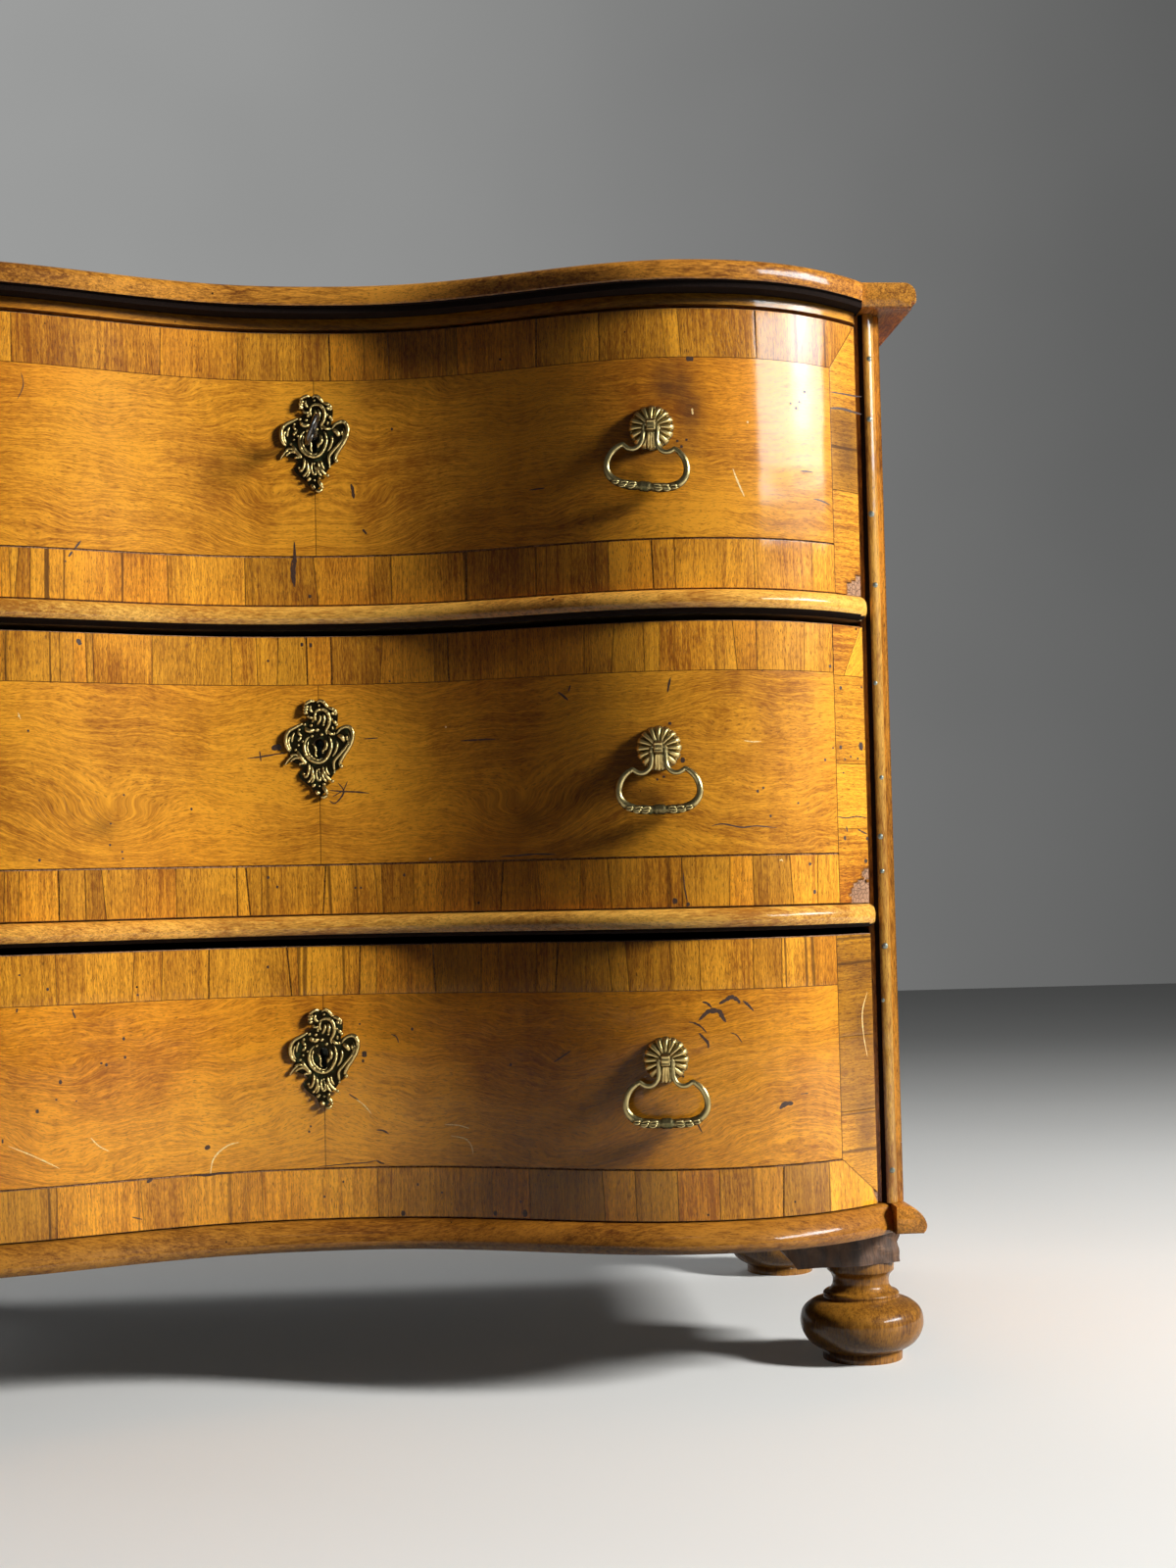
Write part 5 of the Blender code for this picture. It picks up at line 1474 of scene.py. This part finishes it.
class CHEST_OT_rosettes(bpy.types.Operator):
    """Fluted rosettes with the banded block and the ribbed leaf that carry each bail"""

    bl_idname = "chest.rosettes"
    bl_label = "Rosettes"

    def wedge(self):
        """One flute of the dome, from the boss to the scalloped rim, with its twin edge lines."""
        petals = sizes().petals
        points, faces = [], []
        across, along = 14, 16
        for i in range(along + 1):
            share = i / along
            for j in range(across + 1):
                phi = j / across - 0.5
                angle = 2 * math.pi * phi / petals
                rim = 0.0170 - 0.0012 * abs(2 * phi) ** 2.5
                radius = 0.0034 + (rim - 0.0034) * share
                dome = 0.0014 + 0.0058 * math.sqrt(max(1 - (radius / 0.0173) ** 2, 0.0))
                bulge = math.sqrt(max(1 - (phi / 0.35) ** 2, 0.0)) * (0.0006 + 0.0009 * share)
                edge = math.exp(-((abs(phi) - 0.425) / 0.03) ** 2) * 0.0008
                out = dome + (bulge + edge) * min(share * 2.2, 1.0) * (1 if share < 0.93 else 0.4)
                points.append((radius * math.cos(angle), radius * math.sin(angle), out))
        row, base = across + 1, len(points)
        for i, j in product(range(along), range(across)):
            a = i * row + j
            faces.append((a, a + row, a + row + 1, a + 1))
        points += [(*points[i * row + j][:2], 0.0008) for i in (0, along) for j in range(row)]
        for j in range(across):
            rim = along * row + j
            faces.append((rim, base + row + j, base + row + j + 1, rim + 1))
            faces.append((j, j + 1, base + j + 1, base + j))
            faces.append((base + j, base + j + 1, base + row + j + 1, base + row + j))
        return mesh_from(points, faces, fix=False)

    def banded_block(self):
        """The block between the arms: horizontal reeds on a rounded bar."""
        loops = []
        for k in range(41):
            z = -0.0050 + 0.0100 * k / 40
            reed = 0.0011 * (math.exp(-((k - 7) / 4) ** 2) + math.exp(-((k - 33) / 4) ** 2))
            end = 1.0 if 2 < k < 38 else 0.9
            deep = (0.0148 + reed - 0.0025 * abs(k / 20 - 1) ** 2) * (1.0 if 1 < k < 39 else 0.97)
            half = 0.0035 * end
            right = ((half - 0.0018, -deep), (half - 0.0007, -deep + 0.0003), (half, -deep + 0.0012), (half, -0.004))
            loops.append([(-x, y, z) for x, y in right[::-1]] + [(x, y, z) for x, y in right])
        return loft(loops)

    def leaf(self):
        """The three-ribbed leaf below the block, flaring and scalloped at its end."""
        loops = []
        for k in range(25):
            t = k / 24
            z = -0.0048 - 0.0106 * t
            half = 0.0026 + 0.0015 * t ** 0.8
            face = 0.0108 - 0.0048 * t ** 1.5
            loop = []
            for i in range(25):
                u = 2 * i / 24 - 1
                rib = 0.0007 * abs(math.cos(1.5 * math.pi * u)) + 0.0008 * (1 - u * u)
                tip = 0.0012 * abs(math.cos(1.5 * math.pi * u)) * max(t - 0.9, 0) / 0.1
                loop.append((half * u, -face - rib * (0.5 + 0.5 * t), z - tip))
            loop += [(half, -face + 0.0022 + 0.002 * t, z), (-half, -face + 0.0022 + 0.002 * t, z)]
            loops.append(loop)
        return loft(loops)

    def screw(self):
        """Shank, washer and nut inside the drawer."""
        profile = [(0.0024, 0.002), (0.0024, -0.0300), (0.0060, -0.0300), (0.0060, -0.0340), (0.0022, -0.0340),
                (0.0020, -0.0370)]
        mesh = turned(profile, 12)
        mesh.transform(Matrix.Rotation(math.pi / 2, 4, "X"))
        return mesh

    def execute(self, context):
        dome = through_tree(self.wedge(), ring_tree(), Petals=sizes().petals, Finish=finish("aged_brass"))
        dome.transform(Matrix.Rotation(math.pi / 2, 4, "X"))
        parts = [dome, self.banded_block(), self.leaf(), self.screw()]
        whole = joined(parts)

        def hollows(p):
            """Grooves between the petals stay dark."""
            radius = math.hypot(p.x, p.z)
            if p.y < -0.0095 or radius < 0.0034 or radius > 0.0172:
                return 0.75
            phi = (math.atan2(p.z, p.x) * sizes().petals / (2 * math.pi)) % 1.0
            phi = min(phi, 1 - phi)
            groove = min(abs(phi - 0.355) / 0.05, abs(phi - 0.5) / 0.06, 1.0)
            return 0.12 + 0.78 * groove
        rub_and_light_by_face(whole, Vector((0, -1, 0)), 0.12, hollows)
        for level, side, hand in hands(levels):
            mesh = whole.copy()
            mesh.transform(handle_place(level, hand))
            name = "rosette_" + level + "_" + side
            new_piece(name + "_cast", mesh, "drawer_" + level, "aged_brass", (name,), 35)
        return {"FINISHED"}


# Degrees by which three of the bails hang askew
bail_tilts = {("upper", "right"): 7, ("middle", "left"): 5, ("lower", "left"): 9}


class CHEST_OT_bails(bpy.types.Operator):
    """Swinging bails: close arms, cusped loops with twisted ribs and a leafy, collared bar"""

    bl_idname = "chest.bails"
    bl_label = "Bails"

    def path(self):
        """The right half from the pin to the bar's middle, as (x, z, thickness), with its cusp."""
        arm = [(5.3, 0.0, 0.08), (5.3, -6.0, 0.08), (5.6, -11.5, 0.10), (7.5, -16.0, 0.13), (11.2, -18.6, 0.16),
                (15.4, -18.4, 0.17), (19.5, -15.8, 0.13)]
        loop = [(19.5, -15.8, 0.13), (23.6, -18.4, 0.32), (27.7, -23.2, 0.38), (30.0, -29.6, 0.42), (29.6, -36.0, 0.50),
                (25.8, -41.4, 0.66), (19.0, -44.8, 0.82)]
        loop += [(10.0, -46.0, 0.97), (0.0, -46.0, 1.0), (-10.0, -46.0, 0.97)]
        run = smooth_run(arm, 10)[:-1] + smooth_run(loop, 12)[:-12]
        return [(x / 1000, z / 1000, share) for x, z, share in run]

    def rod(self):
        half = self.path()
        line = half + [(-x, z, share) for x, z, share in half[-2::-1]]
        result = []
        for k, (x, z, share) in enumerate(line):
            radius = 0.00145 + 0.0022 * share
            bar = max(share - 0.6, 0) * 2.5
            leaf = 0.05 * math.sin(abs(x) * 620) + 0.03 * math.sin(abs(x) * 1300 + (0.6 if x > 0 else 0))
            collar = 0.12 * (abs(x) < 0.0036) * abs(math.cos(abs(x) * math.pi / 0.0024))
            collar -= 0.16 * math.exp(-((abs(x) - 0.0052) / 0.0012) ** 2)
            radius *= 1 + bar * (leaf * (abs(x) > 0.006) + collar)
            twist = 60.0 * x if share > 0.24 else 0.0
            result.append((x, 0.0, z, radius, twist))
        ends = [(0.0014, 0.0, 0.0, 0.0011, 0.0), (0.0038, 0.0, 0.0, 0.0011, 0.0), (0.0046, 0.0, 0.0009, 0.0013, 0.0)]
        return ends + result[1:-1] + [(-x, y, z, radius, twist) for x, y, z, radius, twist in ends[::-1]]

    def curls(self):
        """Small leaves that lie on the front of the bar, both sides of the collar."""
        lines = []
        for hand in (-1, 1):
            for start, reach, up in ((0.0062, 0.0070, 0.0021), (0.0064, 0.0074, -0.0002), (0.0070, 0.0068, -0.0022),
                    (0.0122, 0.0066, 0.0022), (0.0130, 0.0068, -0.0004), (0.0140, 0.0060, -0.0020),
                    (0.0190, 0.0056, 0.0016), (0.0198, 0.0052, -0.0008)):
                line = []
                for k in range(9):
                    t = k / 8
                    x = start + reach * t
                    droop = 0.0016 * max((x - 0.012) / 0.016, 0.0) ** 2
                    z = -0.0458 + up * math.sin(math.pi * (t * 0.85 + 0.1)) + droop * 1.6 - 0.0006 * t
                    y = -0.0030 + 0.0006 * (2 * t - 1) ** 2 + 0.0005 * t
                    line.append((hand * x, y, z, 0.0010 * math.sqrt(max(1 - (2 * t - 1) ** 4, 0.04))))
                lines.append(line)
        return lines

    def execute(self, context):
        rod = through_tree(stroke_mesh([self.rod()]), cast_tree(), Ribs=11, Rib_depth=0.09, Finish=finish("bail_brass"))
        leaves = through_tree(stroke_mesh(self.curls()), cast_tree(), Ribs=4, Rib_depth=0.0,
                Finish=finish("bail_brass"))
        for vertex in rod.vertices:
            if vertex.co.z < -0.003:
                vertex.co.y *= 0.76
        # Rubbing and painted highlight: the bail is brighter where it faces out, up and to the right, towards the key
        # light.
        facing = Vector((0.25, -0.9, 0.3)).normalized()
        rub_and_light_by_face(rod, facing, 0.18, lambda p: 0.45 if abs(p.x) < 0.026 and p.z < -0.040 else 1.0)
        rub_and_light_by_face(leaves, facing, 0.25)
        whole = joined([rod, leaves])
        for level, side, hand in hands(levels):
            mesh = whole.copy()
            tilt = Matrix.Rotation(math.radians(bail_tilts.get((level, side), 0)), 4, "Y")
            mesh.transform(handle_place(level, hand) @ Matrix.Translation((0, -pin_out, 0)) @ tilt)
            name = "bail_" + level + "_" + side
            new_piece(name + "_cast", mesh, name, "bail_brass", (name,), 50)
        return {"FINISHED"}


class CHEST_OT_key(bpy.types.Operator):
    """The steel key in the upper lock: oval bow, turned collar, stem and bit"""

    bl_idname = "chest.key"
    bl_label = "Key"

    def execute(self, context):
        stem = [(0.0022, -0.0349), (0.0022, 0.0145), (0.0030, 0.0150), (0.0030, 0.0160), (0.0024, 0.0165),
                (0.0024, 0.0175)]
        stem += [(0.0034, 0.0182), (0.0034, 0.0210), (0.0026, 0.0220), (0.0022, 0.0262)]
        parts = [turned(stem, 20)]
        parts[0].transform(Matrix.Rotation(math.pi / 2, 4, "X"))
        loops = []
        for i in range(40):
            angle = 2 * math.pi * i / 40
            centre = Vector((0.0, -0.033 + 0.010 * math.cos(angle), 0.0112 * math.sin(angle)))
            out = Vector((0.0, math.cos(angle), math.sin(angle)))
            thick = 0.0015 + 0.0004 * abs(math.sin(angle))
            loops.append([centre + out * thick * math.cos(a) + Vector((1, 0, 0)) * thick * math.sin(a)
                    for a in [2 * math.pi * k / 10 for k in range(10)]])
        parts.append(loft(loops, True))
        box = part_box("key")
        bit = [(-0.001, 0.001), (0.001, 0.001), (0.001, -0.009), (-0.001, -0.009)]
        back = box[1].y - hollow_y - 0.0003
        parts.append(loft([[(x, y, z) for x, z in bit] for y in (back - 0.006, back)]))
        mesh = joined(parts)
        mesh.transform(Matrix.Translation((0.0, hollow_y, keyholes["upper"])) @ Matrix.Rotation(key_turn, 4, "Y"))
        new_piece("key_steel", mesh, "key", "key_steel_finish", ("key",), 40)
        return {"FINISHED"}


class CHEST_OT_carcass(bpy.types.Operator):
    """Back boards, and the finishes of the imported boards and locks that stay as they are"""

    bl_idname = "chest.carcass"
    bl_label = "Carcass and linings"

    def execute(self, context):
        low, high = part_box("back_panel")
        mesh = through_tree(bpy.data.meshes.new("none"), board_tree(), Boards=4, Width=high.x - low.x,
                Height=high.z - low.z, Thickness=high.y - low.y, Finish=finish("pine_long"))
        mesh.transform(Matrix.Translation((low + high) / 2))
        new_piece("back_boards", mesh, "carcass", None, ("back_panel",), 30)
        wanted = {"drawer_front": "ground_wood", "drawer_side": "pine_deep", "drawer_back": "pine_long",
                "drawer_bottom": "pine_long", "dustboard": "pine_long",
                  "bottom_board": "pine_long", "side_": "walnut_upright", "top_rail": "walnut_long", "lock": "old_iron"}
        for name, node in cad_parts.items():
            for start, kind in wanted.items():
                if name.startswith(start) and not node.hide_render:
                    node.data.materials.clear()
                    node.data.materials.append(finish(kind))
        return {"FINISHED"}


def seen_ray(bench):
    """1 for a ray from the camera, a mirror or glass, 0 for one that carries light to the object."""
    rays = bench.wires(bench.node("ShaderNodeLightPath"))
    return bench.math("MAXIMUM", rays["Is Camera Ray"], bench.math("MAXIMUM", rays["Is Glossy Ray"],
            rays["Is Transmission Ray"]))


class CHEST_OT_stage(bpy.types.Operator):
    """Pale floor, plain backdrop, soft lights and the camera"""

    bl_idname = "chest.stage"
    bl_label = "Stage, lights and camera"

    def plain(self, name, points, colour, rough, fade, bounce):
        """One sheet of the room, with a painted fall-off of light along an axis. It hardly lights the object it stands
        by.
        """
        item = linked(name, mesh_from(points, [(0, 1, 2, 3)], fix=False))
        material, bench = new_finish(name)
        axis, near, far, dim = fade
        # Painted fall-off of light: the sheet's colour dims along one axis down to dim.
        shade = bench.span(bench.split(bench.place())[axis], near, far, 1.0, dim)
        shade *= bench.span(bench.noise(bench.place(), (0.9,) * 3, 2.0), 0.3, 0.7, 0.965, 1.03)
        tint = bench.shade(colour, shade * (seen_ray(bench) * (1 - bounce) + bounce))
        # The wall has no lit shading of its own: it glows, with the painted fall-off in its colour. The floor adds a
        # faint even glow seen only by the camera.
        if rough is None:
            finished(material, bench, (0.0, 0.0, 0.0, 1.0), None, Specular_Ior_Level=0.0, Emission_Strength=1.0,
                    Emission_Color=tint)
        else:
            finished(material, bench, tint, rough, Emission_Strength=seen_ray(bench) * 0.03,
                    Emission_Color=(*colour, 1.0))
        item.data.materials.append(material)

    def light(self, name, place, target, size, energy, colour=(1.0, 1.0, 1.0), spread=180, lights=True, shines=True):
        """A soft rectangular lamp. It may leave out its light, to be seen in the polish only, or its reflection."""
        data = bpy.data.lights.new(name, "AREA")
        data.shape, data.size, data.size_y, data.energy, data.color = "RECTANGLE", size[0], size[1], energy, colour
        data.spread = math.radians(spread)
        item = linked(name, data)
        item.visible_diffuse, item.visible_glossy = lights, shines
        item.location = place
        item.rotation_euler = (Vector(target) - Vector(place)).to_track_quat("-Z", "Y").to_euler()

    def execute(self, context):
        c = colours()
        self.plain("studio_floor", [(-9, -3.4, 0), (9, -3.4, 0), (9, 5.2, 0), (-9, 5.2, 0)], c.floor, 0.6,
                (1, -0.3, 3.4, 0.28), 0.05)
        self.plain("studio_wall", [(-9, 5.2, 0), (9, 5.2, 0), (9, 5.2, 8), (-9, 5.2, 8)], c.wall, None,
                (0, -2.2, 3.6, 0.28), 0.0)
        world = bpy.data.worlds.new("studio")
        world.use_nodes = True
        bench = NodeBench(world.node_tree)
        bench.feed(world.node_tree.nodes["Background"], {0: (0.62, 0.66, 0.72, 1.0), 1: seen_ray(bench) * 0.09 + 0.010})
        context.scene.world = world
        key = ((3.04, -1.50, 1.82), (0.10, -0.2, 0.45), (0.58, 0.78))
        self.light("key", *key, 205.0, (1.0, 0.985, 0.96), shines=False)
        self.light("key_glint", *key, 105.0, (1.0, 0.99, 0.97), lights=False)
        self.light("window", (2.39, -1.56, 1.375), (0.36, -0.25, 0.70), (1.85, 0.45), 50.0, (0.80, 0.93, 1.0),
                lights=False)
        self.light("floor_light", (-0.3, -2.3, 2.6), (-0.3, -2.29, 0.0), (1.4, 1.0), 10.0, spread=70)
        self.light("left_fill", (-2.3, 1.5, 1.5), (-0.4, 0.2, 0.4), (1.2, 1.2), 14.0, shines=False)
        self.light("back_fill", (-0.6, 2.0, 2.4), (0.0, 0.3, 0.4), (1.8, 1.0), 18.0, shines=False)
        yaw, pitch, roll = (math.radians(v) for v in (4.74, 2.72, -1.25))
        ahead = Vector((math.sin(yaw) * math.cos(pitch), math.cos(yaw) * math.cos(pitch), math.sin(pitch)))
        right = Vector((math.cos(yaw), -math.sin(yaw), 0.0))
        up = right.cross(ahead)
        across = right * math.cos(roll) + up * math.sin(roll)
        above = up * math.cos(roll) - right * math.sin(roll)
        camera = linked("camera", bpy.data.cameras.new("camera"))
        turn = Matrix((across, above, -ahead)).transposed().to_4x4()
        camera.matrix_world = Matrix.Translation((0.072, -1.8285, 0.382)) @ turn
        camera.data.lens, camera.data.sensor_width = 48.35, 36.0
        context.scene.camera = camera
        context.scene.view_settings.view_transform = "Standard"
        return {"FINISHED"}


class CHEST_PT_panel(bpy.types.Panel):
    """Sizes, colours and steps of the chest"""

    bl_label = "Chest of drawers"
    bl_space_type = "VIEW_3D"
    bl_region_type = "UI"
    bl_category = "Chest"

    def draw(self, context):
        for group in (context.scene.chest_sizes, context.scene.chest_colours):
            for name in group.bl_rna.properties.keys():
                if name not in ("rna_type", "name"):
                    self.layout.prop(group, name)
        for step in steps:
            self.layout.operator(step.bl_idname)


steps = (
    CHEST_OT_stage, CHEST_OT_drawer_veneers, CHEST_OT_marks, CHEST_OT_case_veneers,
    CHEST_OT_beads, CHEST_OT_mouldings, CHEST_OT_feet, CHEST_OT_escutcheons,
    CHEST_OT_rosettes, CHEST_OT_bails, CHEST_OT_key, CHEST_OT_carcass,
)
classes = (ChestSizes, ChestColours) + steps + (CHEST_PT_panel,)


def register():
    for item in classes:
        bpy.utils.register_class(item)
    bpy.types.Scene.chest_sizes = PointerProperty(type=ChestSizes)
    bpy.types.Scene.chest_colours = PointerProperty(type=ChestColours)


def unregister():
    del bpy.types.Scene.chest_colours
    del bpy.types.Scene.chest_sizes
    for item in reversed(classes):
        bpy.utils.unregister_class(item)


def main():
    register()
    for step in steps:
        getattr(bpy.ops.chest, step.bl_idname.split(".")[1])()


if __name__ == "__main__":
    main()
